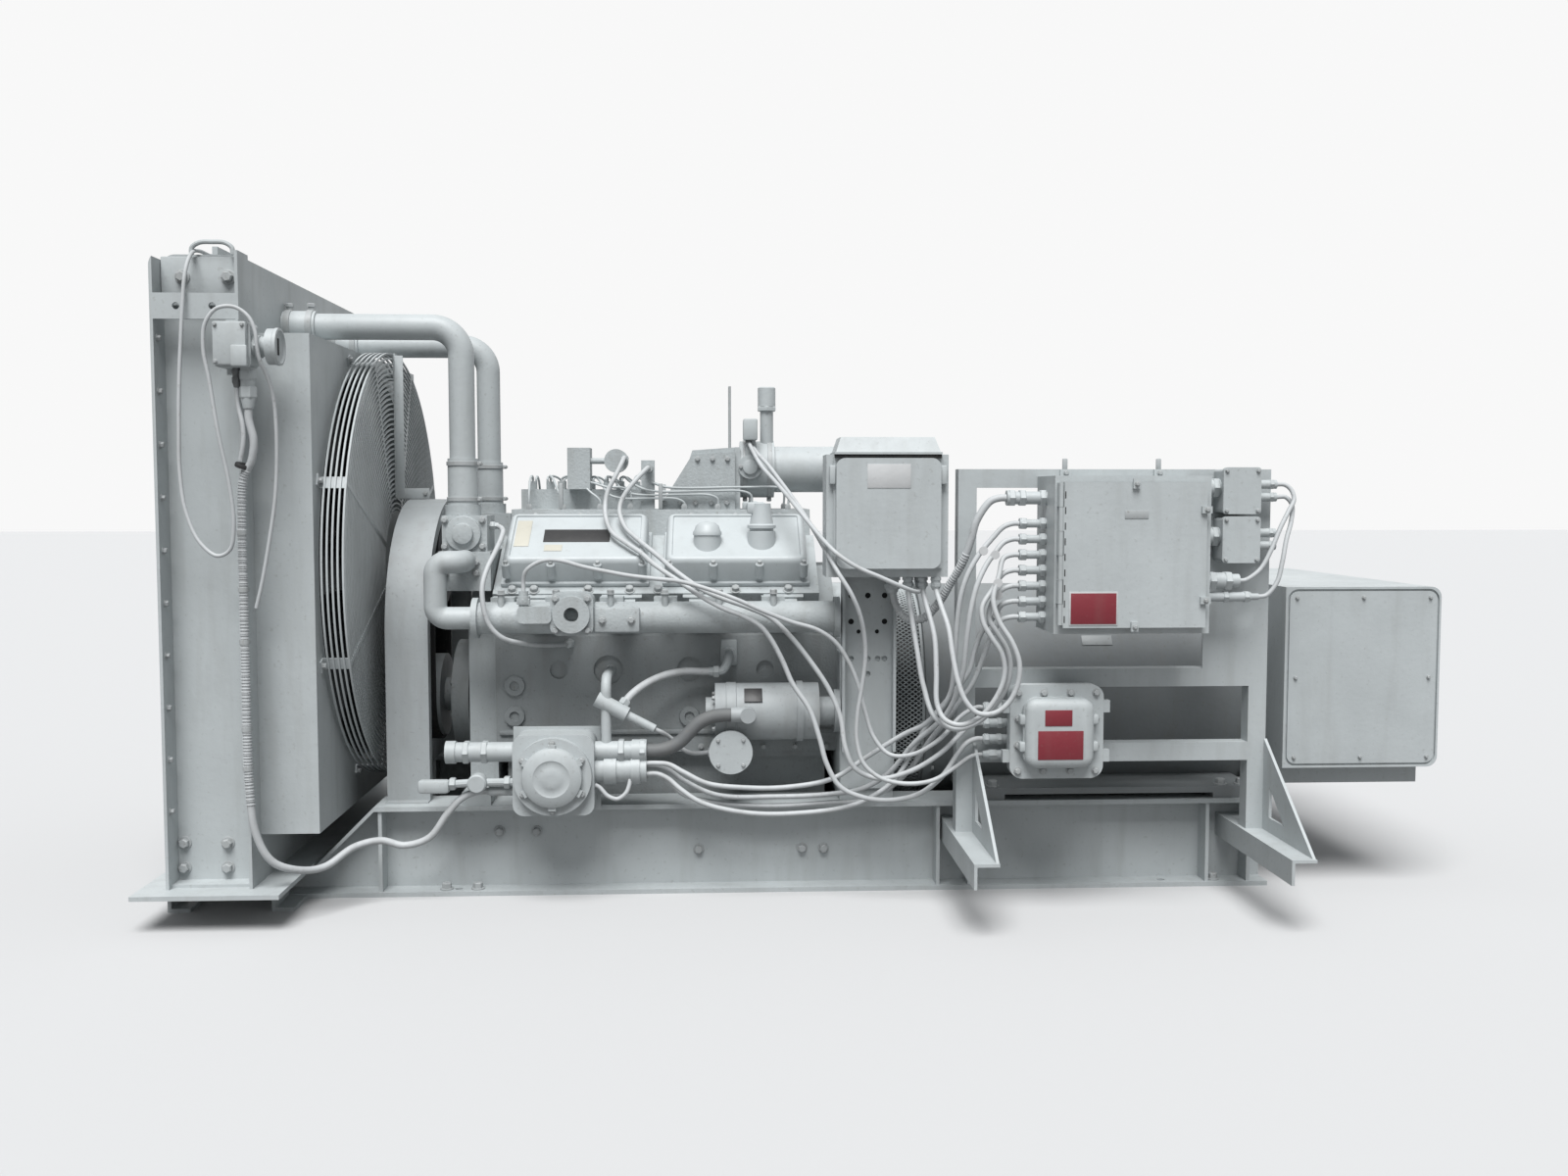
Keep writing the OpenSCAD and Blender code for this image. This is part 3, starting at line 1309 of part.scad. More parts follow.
module hooded_box_post() {
    z1 = hood_z + 220;
    y = -rail_out;
    x0 = block_rear + 2;
    x1 = x0 + post_w;
    edge = 28;
    // Height above the rail, offsets from the middle and radius of a row of holes
    rows = [[584, [-1, 0, 1], 8], [511, [-1, 1], 8], [483, [-0.55, 0.55], 6],
            [407, [-1, 0, 0.6, 1], 8], [364, [0], 8]];
    color(paint) difference() {
        union() {
            slab([x0, x1], [y - 3, y + 5], [rail_h + 40, z1]);
            for (x = [x0, x1 - 8]) slab([x, x + 8], [y - 42, y - 3], [rail_h + 150, z1]);
        }
        for (row = rows) for (k = row[1])
            rod_y(row[2], y - 4, y + 6, (x0 + x1) / 2 + k * (post_w / 2 - edge), rail_h + row[0]);
    }
}

module radiator_switch() {
    x0 = rad_rear - 40;
    z0 = core_z1 - 105;
    y = -column_y;
    color(paint) union() {
        slab([x0 + 10, x0 + 40], [y - 6, y], [z0 - 10, z0 + 128]);
        translate([x0 + 44, 0, z0 + 60]) along_y(y - 70, y - 6) rounded(92, 112, 12);
        rod_y(34, y - 84, y - 70, x0 + 44, z0 + 62);
        rod_x(25, x0 + 90, x0 + 126, y - 40, z0 + 57);
        rod_x(45, x0 + 126, x0 + 144, y - 40, z0 + 57);
        rod_z(13, switch_z, z0 + 8, switch_x, switch_y);
    }
}

module overflow_hose() {
    color(hose) cord(overflow_route, 5, 2);
}

module sensor_conduit() {
    color(hose) cord(sensor_route, 10);
}

module starter_conduit() {
    color(hose) cord(starter_route, 19, 3, 12);
}

module panel_cable(i) {
    color(hose) cord(panel_route(i), i == 7 ? 10 : 7);
}

module panel_cable_a() {
    panel_cable(0);
}

module panel_cable_b() {
    panel_cable(1);
}

module panel_cable_c() {
    panel_cable(2);
}

module panel_cable_d() {
    panel_cable(3);
}

module panel_cable_e() {
    panel_cable(4);
}

module panel_cable_f() {
    panel_cable(5);
}

module panel_cable_g() {
    panel_cable(6);
}

module panel_cable_h() {
    panel_cable(7);
}

module engine_cable(i) {
    color(hose) cord(engine_route(i), i == 2 ? 6 : 7, 2);
}

module engine_cable_a() {
    engine_cable(0);
}

module engine_cable_b() {
    engine_cable(1);
}

module engine_cable_c() {
    engine_cable(2);
}

base_rails();
base_cross_members();
radiator_sills();
radiator_foot_plate();
radiator_columns();
radiator_core();
radiator_top_tank();
radiator_bottom_tank();
fan_shroud();
fan();
fan_guard();
belt_guard();
fan_bearing();
drive_belt();
crank_damper();
engine_block();
oil_pan();
front_engine_support();
gear_housing();
flywheel_housing();
cylinder_heads();
rocker_covers();
exhaust_manifolds();
valley_housing();
injection_pump();
aftercooler();
air_intake_pipe();
thermostat_housing();
coolant_pipes();
bypass_elbow();
starter_motor();
starter_box();
coupling_screen();
generator_barrel();
generator_end_housing();
control_frame();
control_outriggers();
control_box();
control_box_door();
cable_glands();
side_boxes();
flameproof_box();
round_box();
hooded_box();
hooded_box_post();
radiator_switch();
overflow_hose();
sensor_conduit();
starter_conduit();
panel_cable_a();
panel_cable_b();
panel_cable_c();
panel_cable_d();
panel_cable_e();
panel_cable_f();
panel_cable_g();
panel_cable_h();
engine_cable_a();
engine_cable_b();
engine_cable_c();
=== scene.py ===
"""Looks of a skid-mounted diesel generating set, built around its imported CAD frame."""

import logging
import math
from collections.abc import Iterator, Sequence
from contextlib import contextmanager
from dataclasses import dataclass
from enum import Enum

import bpy
from mathutils import Euler, Matrix, Vector

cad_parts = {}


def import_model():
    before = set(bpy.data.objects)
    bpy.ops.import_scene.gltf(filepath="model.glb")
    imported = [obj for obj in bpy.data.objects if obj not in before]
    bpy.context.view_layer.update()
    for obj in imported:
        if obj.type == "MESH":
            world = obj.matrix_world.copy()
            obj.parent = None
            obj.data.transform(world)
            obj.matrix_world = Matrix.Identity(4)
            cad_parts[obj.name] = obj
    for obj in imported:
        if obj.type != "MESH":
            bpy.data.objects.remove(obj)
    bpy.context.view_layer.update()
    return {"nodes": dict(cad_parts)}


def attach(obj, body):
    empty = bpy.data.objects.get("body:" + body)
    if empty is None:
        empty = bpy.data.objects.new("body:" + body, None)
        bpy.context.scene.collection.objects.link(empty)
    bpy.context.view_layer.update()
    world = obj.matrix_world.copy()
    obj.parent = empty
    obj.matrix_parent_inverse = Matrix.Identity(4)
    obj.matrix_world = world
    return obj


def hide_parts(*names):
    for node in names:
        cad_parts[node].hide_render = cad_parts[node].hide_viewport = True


LOG = logging.getLogger("generating_set")
CRANK_Z = 0.506
GLAND_Y = -0.7
GLAND_Z = (0.797, 0.838, 0.879, 0.92, 0.961, 1.002, 1.043, 1.11)
Point = tuple[float, float, float]
Pair = tuple[float, float]
Row = tuple[float, ...]
Path = tuple[Point, ...]
Steps = Sequence[Pair]


class Axis(Enum):
    """Directions a turned piece may stand in, from its base to its end."""

    PLUS_X = Vector((1, 0, 0))
    MINUS_X = Vector((-1, 0, 0))
    PLUS_Y = Vector((0, 1, 0))
    MINUS_Y = Vector((0, -1, 0))
    PLUS_Z = Vector((0, 0, 1))
    MINUS_Z = Vector((0, 0, -1))


class Body(Enum):
    """Rigid bodies of the frame that pieces ride on."""

    SKID = "skid"
    CRANK = "crank_nose"
    DOOR = "panel_door"


SIDES = ((1, "left", Axis.MINUS_Y), (-1, "right", Axis.PLUS_Y))


@dataclass(frozen=True)
class Finish:
    """One surface finish: its colour, its gloss and how weathered it is."""

    name: str
    slot: str
    color: Point
    roughness: float = 0.45
    mottle: float = 0.12
    dirt: float = 0.25
    grain_scale: float = 60.0
    grain_height: float = 0.0006
    dirt_color: Point = (0.16, 0.15, 0.13)


GREY = Finish("grey enamel", "grey_paint", (0.43, 0.462, 0.47))
CAST = Finish("enamel on castings", "engine_paint", (0.40, 0.432, 0.44), 0.5, dirt=0.4,
              grain_scale=140.0, grain_height=0.0012)
# The block's grey is darker than the rest. It is painted shade from the heads and covers above it,
# with some dust.
BLOCK_SHADE_AND_DUST = Finish("dusty enamel on the block", "engine_paint", (0.27, 0.292, 0.298), 0.55,
               dirt=0.45, grain_scale=140.0, grain_height=0.0012)
# The barrel's grey is darkened to paint in the deep shade under the control box. The dirt specks on
# it are still dirt.
BARREL_SHADE = Finish("barrel enamel darkened as painted shade", "grey_paint", (0.2, 0.216, 0.222), 0.55, dirt=0.35)
# This darker grey for the belt guard, the starter and its band is painted shade, since they wear
# the same paint as the rest.
MIDDLE_SHADE = Finish("enamel darkened as painted shade", "grey_paint", (0.33, 0.354, 0.362), 0.5, dirt=0.35)
PALE = Finish("enamel on covers", "pale_paint", (0.46, 0.495, 0.505), 0.38, dirt=0.15)
DARK = Finish("matt dark paint", "dark_paint", (0.035, 0.039, 0.044), 0.6)
RUBBER = Finish("belt rubber", "rubber", (0.02, 0.02, 0.021), 0.75)
JACKET = Finish("cable jacket", "cable_jacket", (0.47, 0.49, 0.5), 0.5, dirt=0.35)
CONDUIT = Finish("dark conduit", "cable_jacket", (0.13, 0.137, 0.14), 0.6, dirt=0.3)
STEEL = Finish("bare fasteners", "grey_paint", (0.36, 0.38, 0.385), 0.4, dirt=0.5)
RED = Finish("red plate", "grey_paint", (0.17, 0.012, 0.022), 0.4, mottle=0.08, dirt=0.15)
BLACK = Finish("black plate", "dark_paint", (0.012, 0.012, 0.013), 0.45, dirt=0.08)
WHITE = Finish("white plate", "pale_paint", (0.5, 0.51, 0.515), 0.5, dirt=0.1)
CREAM = Finish("cream label", "pale_paint", (0.49, 0.475, 0.41), 0.5, dirt=0.1)
# Near black set into gaps and slots and behind holes is painted shade of their insides.
GAP_SHADE = Finish("painted shade in gaps", "dark_paint", (0.006, 0.007, 0.008), 0.8)

# The block, oil pan, barrel, belt guard and starter take darker greys that paint in the shade they
# stand in. The block's grey also holds dust.
NODE_FINISH = {
    "engine_block": BLOCK_SHADE_AND_DUST, "oil_pan": BLOCK_SHADE_AND_DUST, "generator_barrel": BARREL_SHADE,
    "gear_housing": CAST, "flywheel_housing": CAST,
    "cylinder_heads": CAST, "exhaust_manifolds": CAST, "valley_housing": CAST,
    "injection_pump": CAST, "aftercooler": CAST, "thermostat_housing": CAST,
    "fan_bearing": CAST, "crank_damper": CAST, "rocker_covers": PALE, "radiator_core": DARK,
    "fan": DARK, "drive_belt": RUBBER, "belt_guard": MIDDLE_SHADE, "starter_motor": MIDDLE_SHADE,
    "starter_conduit": CONDUIT,
}


def grid(middle: Point, across: Sequence[float], up: Sequence[float]) -> list[Point]:
    """Give places around a middle, at every step along X and every step along Z.

    Args:
        middle: The middle.
        across: Steps along X.
        up: Steps along Z.

    Returns:
        The places.
    """
    x, y, z = middle
    return [(x + i, y, z + j) for i in across for j in up]


def circle(middle: Point, radius: float, count: int, first: float = 0.0,
           about: Axis = Axis.PLUS_X) -> list[Point]:
    """Spread places over a circle about X or about Y.

    Args:
        middle: The circle's middle.
        radius: Its radius.
        count: How many places.
        first: Degrees from straight up to the first place.
        about: The circle's axis, PLUS_X or PLUS_Y.

    Returns:
        The places.
    """
    x, y, z = middle
    places = []
    for k in range(count):
        turn = math.radians(first + 360 / count * k)
        aside, up = radius * math.sin(turn), radius * math.cos(turn)
        places.append((x, y + aside, z + up) if about is Axis.PLUS_X else (x + aside, y, z + up))
    return places


class Palette:
    """Makes each finish's material once, from node groups that all of them share."""

    # Each noise's cells to a metre, octaves and stretch, and what of it becomes nought and one.
    CLOUD, CLOUD_SPAN = (5.0, 5.0), (0.3, 0.7)
    RUNS, RUNS_SPAN = (9.0, 6.0, (3, 3, 0.35)), (0.5, 0.78)
    SPECK, SPECK_SPAN = (90.0, 3.0), (0.62, 0.74)
    FINE, BROAD = (60.0, 3.0), (7.0, 2.0)
    STREAK = 0.7
    DULLING = 0.14
    RIPPLE = 2.0

    def __init__(self) -> None:
        """Build the shared groups and start with no materials."""
        self.weather = self._weather_group()
        self.grain = self._grain_group()
        self.made: dict[str, bpy.types.Material] = {}

    @staticmethod
    def _group(name: str, inputs: list[tuple[str, str, object]],
               outputs: list[tuple[str, str]]) -> bpy.types.NodeTree:
        """Make an empty shader group.

        Args:
            name: The group's name.
            inputs: Name, socket type and default of each input.
            outputs: Name and socket type of each output.

        Returns:
            The group, with its input and output nodes.
        """
        tree = bpy.data.node_groups.new(name, "ShaderNodeTree")
        for label, kind, default in inputs:
            socket = tree.interface.new_socket(label, in_out="INPUT", socket_type=kind)
            socket.default_value = default
        for label, kind in outputs:
            tree.interface.new_socket(label, in_out="OUTPUT", socket_type=kind)
        tree.nodes.new("NodeGroupInput").name = "in"
        tree.nodes.new("NodeGroupOutput").name = "out"
        return tree

    @staticmethod
    def _noise(tree: bpy.types.NodeTree, scale: float, detail: float,
               stretch: Point = (1, 1, 1)) -> bpy.types.Node:
        """Add a noise on object coordinates.

        Args:
            tree: The tree to add it to.
            scale: Noise cells to a metre.
            detail: Octaves of the noise.
            stretch: Scale along each axis before the noise.

        Returns:
            The noise node.
        """
        place = tree.nodes.new("ShaderNodeTexCoord")
        mapping = tree.nodes.new("ShaderNodeMapping")
        mapping.inputs["Scale"].default_value = stretch
        noise = tree.nodes.new("ShaderNodeTexNoise")
        noise.inputs["Scale"].default_value = scale
        noise.inputs["Detail"].default_value = detail
        tree.links.new(place.outputs["Object"], mapping.inputs["Vector"])
        tree.links.new(mapping.outputs["Vector"], noise.inputs["Vector"])
        return noise

    @staticmethod
    def _ramp(tree: bpy.types.NodeTree, source: bpy.types.NodeSocket, low: float,
              high: float) -> bpy.types.NodeSocket:
        """Spread a value from low and high to nought and one.

        Args:
            tree: The tree to add it to.
            source: The value.
            low: What becomes nought.
            high: What becomes one.

        Returns:
            The output socket.
        """
        node = tree.nodes.new("ShaderNodeMapRange")
        node.inputs["From Min"].default_value = low
        node.inputs["From Max"].default_value = high
        tree.links.new(source, node.inputs["Value"])
        return node.outputs["Result"]

    @staticmethod
    def calculate(tree: bpy.types.NodeTree, operation: str, a: object,
                  b: object) -> bpy.types.NodeSocket:
        """Join two sockets or numbers with a math node.

        Args:
            tree: The tree to add it to.
            operation: Name of the operation.
            a: Its first socket or number.
            b: Its second socket or number.

        Returns:
            The output socket.
        """
        node = tree.nodes.new("ShaderNodeMath")
        node.operation = operation
        for slot, value in zip(node.inputs, (a, b)):
            if isinstance(value, bpy.types.NodeSocket):
                tree.links.new(value, slot)
            else:
                slot.default_value = value
        return node.outputs[0]

    @staticmethod
    def _mix(tree: bpy.types.NodeTree, factor: bpy.types.NodeSocket, a: bpy.types.NodeSocket,
             b: bpy.types.NodeSocket) -> bpy.types.NodeSocket:
        """Mix two colours by a factor.

        Args:
            tree: The tree to add it to.
            factor: The factor.
            a: The colour at nought.
            b: The colour at one.

        Returns:
            The colour socket.
        """
        node = tree.nodes.new("ShaderNodeMix")
        node.data_type = "RGBA"
        tree.links.new(factor, node.inputs["Factor"])
        tree.links.new(a, node.inputs["A"])
        tree.links.new(b, node.inputs["B"])
        return node.outputs["Result"]

    def _weather_group(self) -> bpy.types.NodeTree:
        """Make the group that mottles a colour, streaks it and gathers dirt on it.

        Returns:
            The group.
        """
        tree = self._group(
            "weathering",
            [("Color", "NodeSocketColor", (0.5, 0.5, 0.5, 1)),
             ("Dirt Color", "NodeSocketColor", (0.2, 0.18, 0.15, 1)),
             ("Mottle", "NodeSocketFloat", 0.1), ("Dirt", "NodeSocketFloat", 0.2),
             ("Roughness", "NodeSocketFloat", 0.45)],
            [("Color", "NodeSocketColor"), ("Roughness", "NodeSocketFloat")])
        source, sink = tree.nodes["in"], tree.nodes["out"]
        cloud = self._ramp(tree, self._noise(tree, *self.CLOUD).outputs["Fac"], *self.CLOUD_SPAN)
        shade = self.calculate(tree, "SUBTRACT", 1.0,
                               self.calculate(tree, "MULTIPLY", cloud, source.outputs["Mottle"]))
        tint = tree.nodes.new("ShaderNodeVectorMath")
        tint.operation = "SCALE"
        tree.links.new(source.outputs["Color"], tint.inputs[0])
        tree.links.new(shade, tint.inputs["Scale"])
        runs = self._noise(tree, *self.RUNS)
        streak = self._ramp(tree, runs.outputs["Fac"], *self.RUNS_SPAN)
        speck = self._ramp(tree, self._noise(tree, *self.SPECK).outputs["Fac"], *self.SPECK_SPAN)
        faint = self.calculate(tree, "MULTIPLY", streak, self.STREAK)
        spots = self.calculate(tree, "MAXIMUM", faint, speck)
        mask = self.calculate(tree, "MULTIPLY", spots, source.outputs["Dirt"])
        color = self._mix(tree, mask, tint.outputs["Vector"], source.outputs["Dirt Color"])
        tree.links.new(color, sink.inputs["Color"])
        worn = self.calculate(tree, "ADD", mask, cloud)
        dull = self.calculate(tree, "MULTIPLY", worn, self.DULLING)
        tree.links.new(self.calculate(tree, "ADD", source.outputs["Roughness"], dull),
                       sink.inputs["Roughness"])
        return tree

    def _grain_group(self) -> bpy.types.NodeTree:
        """Make the group that gives the height of paint ripple and casting grain.

        Returns:
            The group.
        """
        tree = self._group("surface grain", [("Scale", "NodeSocketFloat", 60.0)],
                           [("Height", "NodeSocketFloat")])
        fine = self._noise(tree, *self.FINE)
        tree.links.new(tree.nodes["in"].outputs["Scale"], fine.inputs["Scale"])
        broad = self._noise(tree, *self.BROAD)
        waves = self.calculate(tree, "MULTIPLY", broad.outputs["Fac"], self.RIPPLE)
        height = self.calculate(tree, "ADD", fine.outputs["Fac"], waves)
        tree.links.new(height, tree.nodes["out"].inputs["Height"])
        return tree

    def material(self, finish: Finish) -> bpy.types.Material:
        """Give the material of a finish, made the first time it is asked for.

        Args:
            finish: The finish.

        Returns:
            Its material.
        """
        if finish.name in self.made:
            return self.made[finish.name]
        material = bpy.data.materials.new(finish.name.replace(" ", "_"))
        material.use_nodes = True
        tree = material.node_tree
        shader = tree.nodes["Principled BSDF"]
        weather = tree.nodes.new("ShaderNodeGroup")
        weather.node_tree = self.weather
        for label, value in (("Color", (*finish.color, 1)),
                             ("Dirt Color", (*finish.dirt_color, 1)), ("Mottle", finish.mottle),
                             ("Dirt", finish.dirt), ("Roughness", finish.roughness)):
            weather.inputs[label].default_value = value
        grain = tree.nodes.new("ShaderNodeGroup")
        grain.node_tree = self.grain
        grain.inputs["Scale"].default_value = finish.grain_scale
        bump = tree.nodes.new("ShaderNodeBump")
        bump.inputs["Distance"].default_value = finish.grain_height
        tree.links.new(grain.outputs["Height"], bump.inputs["Height"])
        tree.links.new(weather.outputs["Color"], shader.inputs["Base Color"])
        tree.links.new(weather.outputs["Roughness"], shader.inputs["Roughness"])
        tree.links.new(bump.outputs["Normal"], shader.inputs["Normal"])
        self.made[finish.name] = material
        return material


class Workshop:
    """Models pieces with operators, dresses them and puts them on a body."""

    WASHER = ((1.45, 0), (1.45, 0.22), (1.3, 0.28))
    HEAD = ((1.1, 0), (1.1, 0.95), (0.85, 1.15))
    GLAND_BODY = ((0.8, 0), (0.8, 0.8), (0.6, 1))
    GLAND_NUT = ((0.94, 0), (1, 0.03), (1, 0.2), (0.94, 0.23))
    GLAND_CAP = ((0.94, 0), (1, 0.03), (1, 0.26), (0.9, 0.3))
    SCREW = ((0.0045, 0), (0.0045, 0.008), (0.003, 0.008), (0.003, 0.046), (0.0055, 0.046),
             (0.0055, 0.052))

    def __init__(self, palette: Palette) -> None:
        """Keep the palette and count the pieces made."""
        self.palette = palette
        self.count = 0

    def finish(self, piece: bpy.types.Object, finish: Finish, body: Body = Body.SKID,
               angle: float = 35.0) -> bpy.types.Object:
        """Name the finish of a piece, smooth it and let it ride on a body.

        Args:
            piece: The mesh or curve object.
            finish: Its finish.
            body: The body it moves with.
            angle: Edges sharper than this many degrees stay sharp.

        Returns:
            The same piece.
        """
        piece.data.materials.clear()
        piece.data.materials.append(self.palette.material(finish))
        if piece.type == "MESH":
            self.choose([piece])
            bpy.ops.object.shade_smooth_by_angle(angle=math.radians(angle))
        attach(piece, body.value)
        self.count += 1
        LOG.info("made %s", piece.name)
        return piece

    @staticmethod
    def start(name: str) -> bpy.types.Object:
        """Name the primitive just added and put its place into its mesh.

        Args:
            name: The piece's name.

        Returns:
            The piece.
        """
        bpy.ops.object.transform_apply(location=True, rotation=True, scale=True)
        piece = bpy.context.object
        piece.name = name
        piece.data.name = name
        return piece

    @staticmethod
    @contextmanager
    def editing() -> Iterator[None]:
        """Edit the active piece, with all of it selected, and return to object mode."""
        bpy.ops.object.mode_set(mode="EDIT")
        bpy.ops.mesh.select_all(action="SELECT")
        yield
        bpy.ops.object.mode_set(mode="OBJECT")

    @staticmethod
    def outward() -> None:
        """Turn all faces of the piece being edited outward."""
        bpy.ops.mesh.select_all(action="SELECT")
        bpy.ops.mesh.normals_make_consistent(inside=False)

    @staticmethod
    def scaled(steps: Steps, across: float, along: float) -> list[Pair]:
        """Give a profile with its radii and its heights multiplied."""
        return [(r * across, h * along) for r, h in steps]

    def block(self, name: str, low: Point, high: Point, edge: float = 0.002) -> bpy.types.Object:
        """Model a block with bevelled edges between two corners.

        Args:
            name: The piece's name.
            low: Its lowest corner.
            high: Its highest corner.
            edge: Width of the bevel.

        Returns:
            The piece, not yet finished.
        """
        middle = [(a + b) / 2 for a, b in zip(low, high)]
        bpy.ops.mesh.primitive_cube_add(size=1, location=middle,
                                        scale=[b - a for a, b in zip(low, high)])
        piece = self.start(name)
        with self.editing():
            bpy.ops.mesh.bevel(offset=edge, segments=2, affect="EDGES")
        return piece

    def rounded(self, name: str, wide: float, deep: float, corner: float,
                steps: Steps) -> bpy.types.Object:
        """Model a lid with round corners by extruding and insetting one plane.

        Args:
            name: The piece's name.
            wide: Its size along X.
            deep: Its size along Y.
            corner: Radius of its corners.
            steps: Inset and rise of each stage, from the base on.

        Returns:
            The piece, standing on the origin and not yet finished.
        """
        bpy.ops.mesh.primitive_plane_add(size=1)
        piece = self.start(name)
        with self.editing():
            bpy.ops.mesh.select_mode(type="FACE")
            bpy.ops.mesh.select_all(action="SELECT")
            bpy.ops.transform.resize(value=(wide, deep, 1), center_override=(0, 0, 0))
            bpy.ops.mesh.bevel(offset=corner, segments=5, affect="VERTICES")
            for inset, rise in steps:
                if inset:
                    bpy.ops.mesh.inset(thickness=inset, depth=rise)
                else:
                    bpy.ops.mesh.extrude_region_move(
                        TRANSFORM_OT_translate={"value": (0, 0, rise)})
            self.outward()
        return piece

    def turned(self, name: str, at: Point, axis: Axis | Vector, steps: Steps,
               sides: int = 32) -> bpy.types.Object:
        """Model a turned piece by extruding and scaling one disc.

        Args:
            name: The piece's name.
            at: The middle of its base.
            axis: The direction from its base to its end.
            steps: Radius and distance from the base of each ring, from the base on.
            sides: Sides of the disc.

        Returns:
            The piece, not yet finished.
        """
        radius, level = steps[0]
        bpy.ops.mesh.primitive_circle_add(vertices=sides, radius=radius, fill_type="NGON",
                                          location=(0, 0, level))
        piece = self.start(name)
        with self.editing():
            for wide, high in steps[1:]:
                bpy.ops.mesh.extrude_region_move(
                    TRANSFORM_OT_translate={"value": (0, 0, high - level)})
                bpy.ops.transform.resize(value=(wide / radius, wide / radius, 1),
                                         center_override=(0, 0, high))
                radius, level = wide, high
            self.outward()
        piece.data.transform(self.stand(at, axis))
        return piece

    @staticmethod
    def choose(pieces: list[bpy.types.Object]) -> None:
        """Select only these pieces and make the first of them active.

        Args:
            pieces: The pieces to select.
        """
        bpy.ops.object.select_all(action="DESELECT")
        for piece in pieces:
            piece.select_set(True)
        bpy.context.view_layer.objects.active = pieces[0]

    def join(self, name: str, pieces: list[bpy.types.Object]) -> bpy.types.Object:
        """Join pieces into the first of them and rename it.

        Args:
            name: The piece's name.
            pieces: What is joined.

        Returns:
            The joined piece.
        """
        self.choose(pieces)
        if len(pieces) > 1:
            bpy.ops.object.join()
        pieces[0].name = name
        pieces[0].data.name = name
        return pieces[0]

    @staticmethod
    def stand(at: Point, axis: Axis | Vector, spin: float = 0.0) -> Matrix:
        """Give the matrix that stands a piece modelled along Z at a place, along an axis.

        Args:
            at: Where its origin goes.
            axis: Where its Z axis points.
            spin: Its turn about that axis, in radians.

        Returns:
            The matrix.
        """
        way = axis.value if isinstance(axis, Axis) else Vector(axis)
        turn = Vector((0, 0, 1)).rotation_difference(way.normalized()).to_matrix().to_4x4()
        return Matrix.Translation(at) @ turn @ Matrix.Rotation(spin, 4, "Z")

    def copies(self, name: str, model: bpy.types.Object,
               places: list[Matrix]) -> bpy.types.Object:
        """Copy a modelled piece to several places, as one piece, and drop the model.

        Args:
            name: The new piece's name.
            model: The piece modelled once, at the origin.
            places: Where each copy goes.

        Returns:
            The piece, not yet finished.
        """
        parts = []
        for place in places:
            part = bpy.data.objects.new(name, model.data.copy())
            part.data.transform(place)
            bpy.context.collection.objects.link(part)
            parts.append(part)
        bpy.data.objects.remove(model, do_unlink=True)
        return self.join(name, parts)

    def bolts(self, name: str, at: Sequence[Point], axis: Axis | Vector, across: float,
              finish: Finish = STEEL, body: Body = Body.SKID) -> bpy.types.Object:
        """Model a hexagon bolt with its washer and copy it to each place.

        Args:
            name: The piece's name.
            at: Where each washer sits.
            axis: The direction from the seat to the head.
            across: Width of the head.
            finish: The finish.
            body: The body it moves with.

        Returns:
            The finished piece.
        """
        r = across / 2
        washer = self.turned("washer", (0, 0, 0), Axis.PLUS_Z, self.scaled(self.WASHER, r, r), 20)
        seat = r * self.WASHER[-1][1]
        head = self.turned("head", (0, 0, seat), Axis.PLUS_Z, self.scaled(self.HEAD, r, r), 6)
        bolt = self.join("bolt", [washer, head])
        places = [self.stand(p, axis, 0.7 * i) for i, p in enumerate(at)]
        return self.finish(self.copies(name, bolt, places), finish, body, 20.0)

    def plate(self, name: str, low: Point, high: Point, finish: Finish = GREY,
              edge: float = 0.002, body: Body = Body.SKID) -> bpy.types.Object:
        """Model and finish a bevelled block between two corners."""
        return self.finish(self.block(name, low, high, edge), finish, body)

    def label(self, name: str, along: Pair, half: Pair, edge: float,
              middle: Pair, radius: float, turn: float,
              finish: Finish) -> bpy.types.Object:
        """Model a flat plate on the control side of a round wall about X.

        Args:
            name: The piece's name.
            along: Where it starts and ends along X.
            half: Half its thickness and half its height.
            edge: Width of its bevel.
            middle: Y and Z of the wall's axis.
            radius: Distance from that axis to the plate's middle.
            turn: How far up the wall it sits, in radians.
            finish: The finish.

        Returns:
            The finished piece.
        """
        thick, high = half
        plate = self.block(name, (along[0], -thick, -high), (along[1], thick, high), edge)
        place = Matrix.Translation((0, middle[0] - radius * math.cos(turn),
                                    middle[1] + radius * math.sin(turn)))
        plate.data.transform(place @ Matrix.Rotation(-turn, 4, "X"))
        return self.finish(plate, finish)

    def row(self, name: str, model: bpy.types.Object, at: Sequence[Point], finish: Finish = GREY,
            body: Body = Body.SKID) -> bpy.types.Object:
        """Move copies of a modelled piece, unturned, to each place and finish them as one."""
        places = [Matrix.Translation(place) for place in at]
        return self.finish(self.copies(name, model, places), finish, body)

    def spun(self, name: str, at: Sequence[Point], axis: Axis | Vector, steps: Steps,
             finish: Finish = GREY, sides: int = 32) -> bpy.types.Object:
        """Model a turned piece once, copy it to each place and finish it.

        Args:
            name: The piece's name.
            at: Where each copy's base sits.
            axis: The direction from its base to its end.
            steps: Radius and distance from the base of each ring, from the base on.
            finish: The finish.
            sides: Its sides.

        Returns:
            The finished piece.
        """
        model = self.turned("model", (0, 0, 0), Axis.PLUS_Z, steps, sides)
        places = [self.stand(p, axis) for p in at]
        return self.finish(self.copies(name, model, places), finish, angle=30.0)

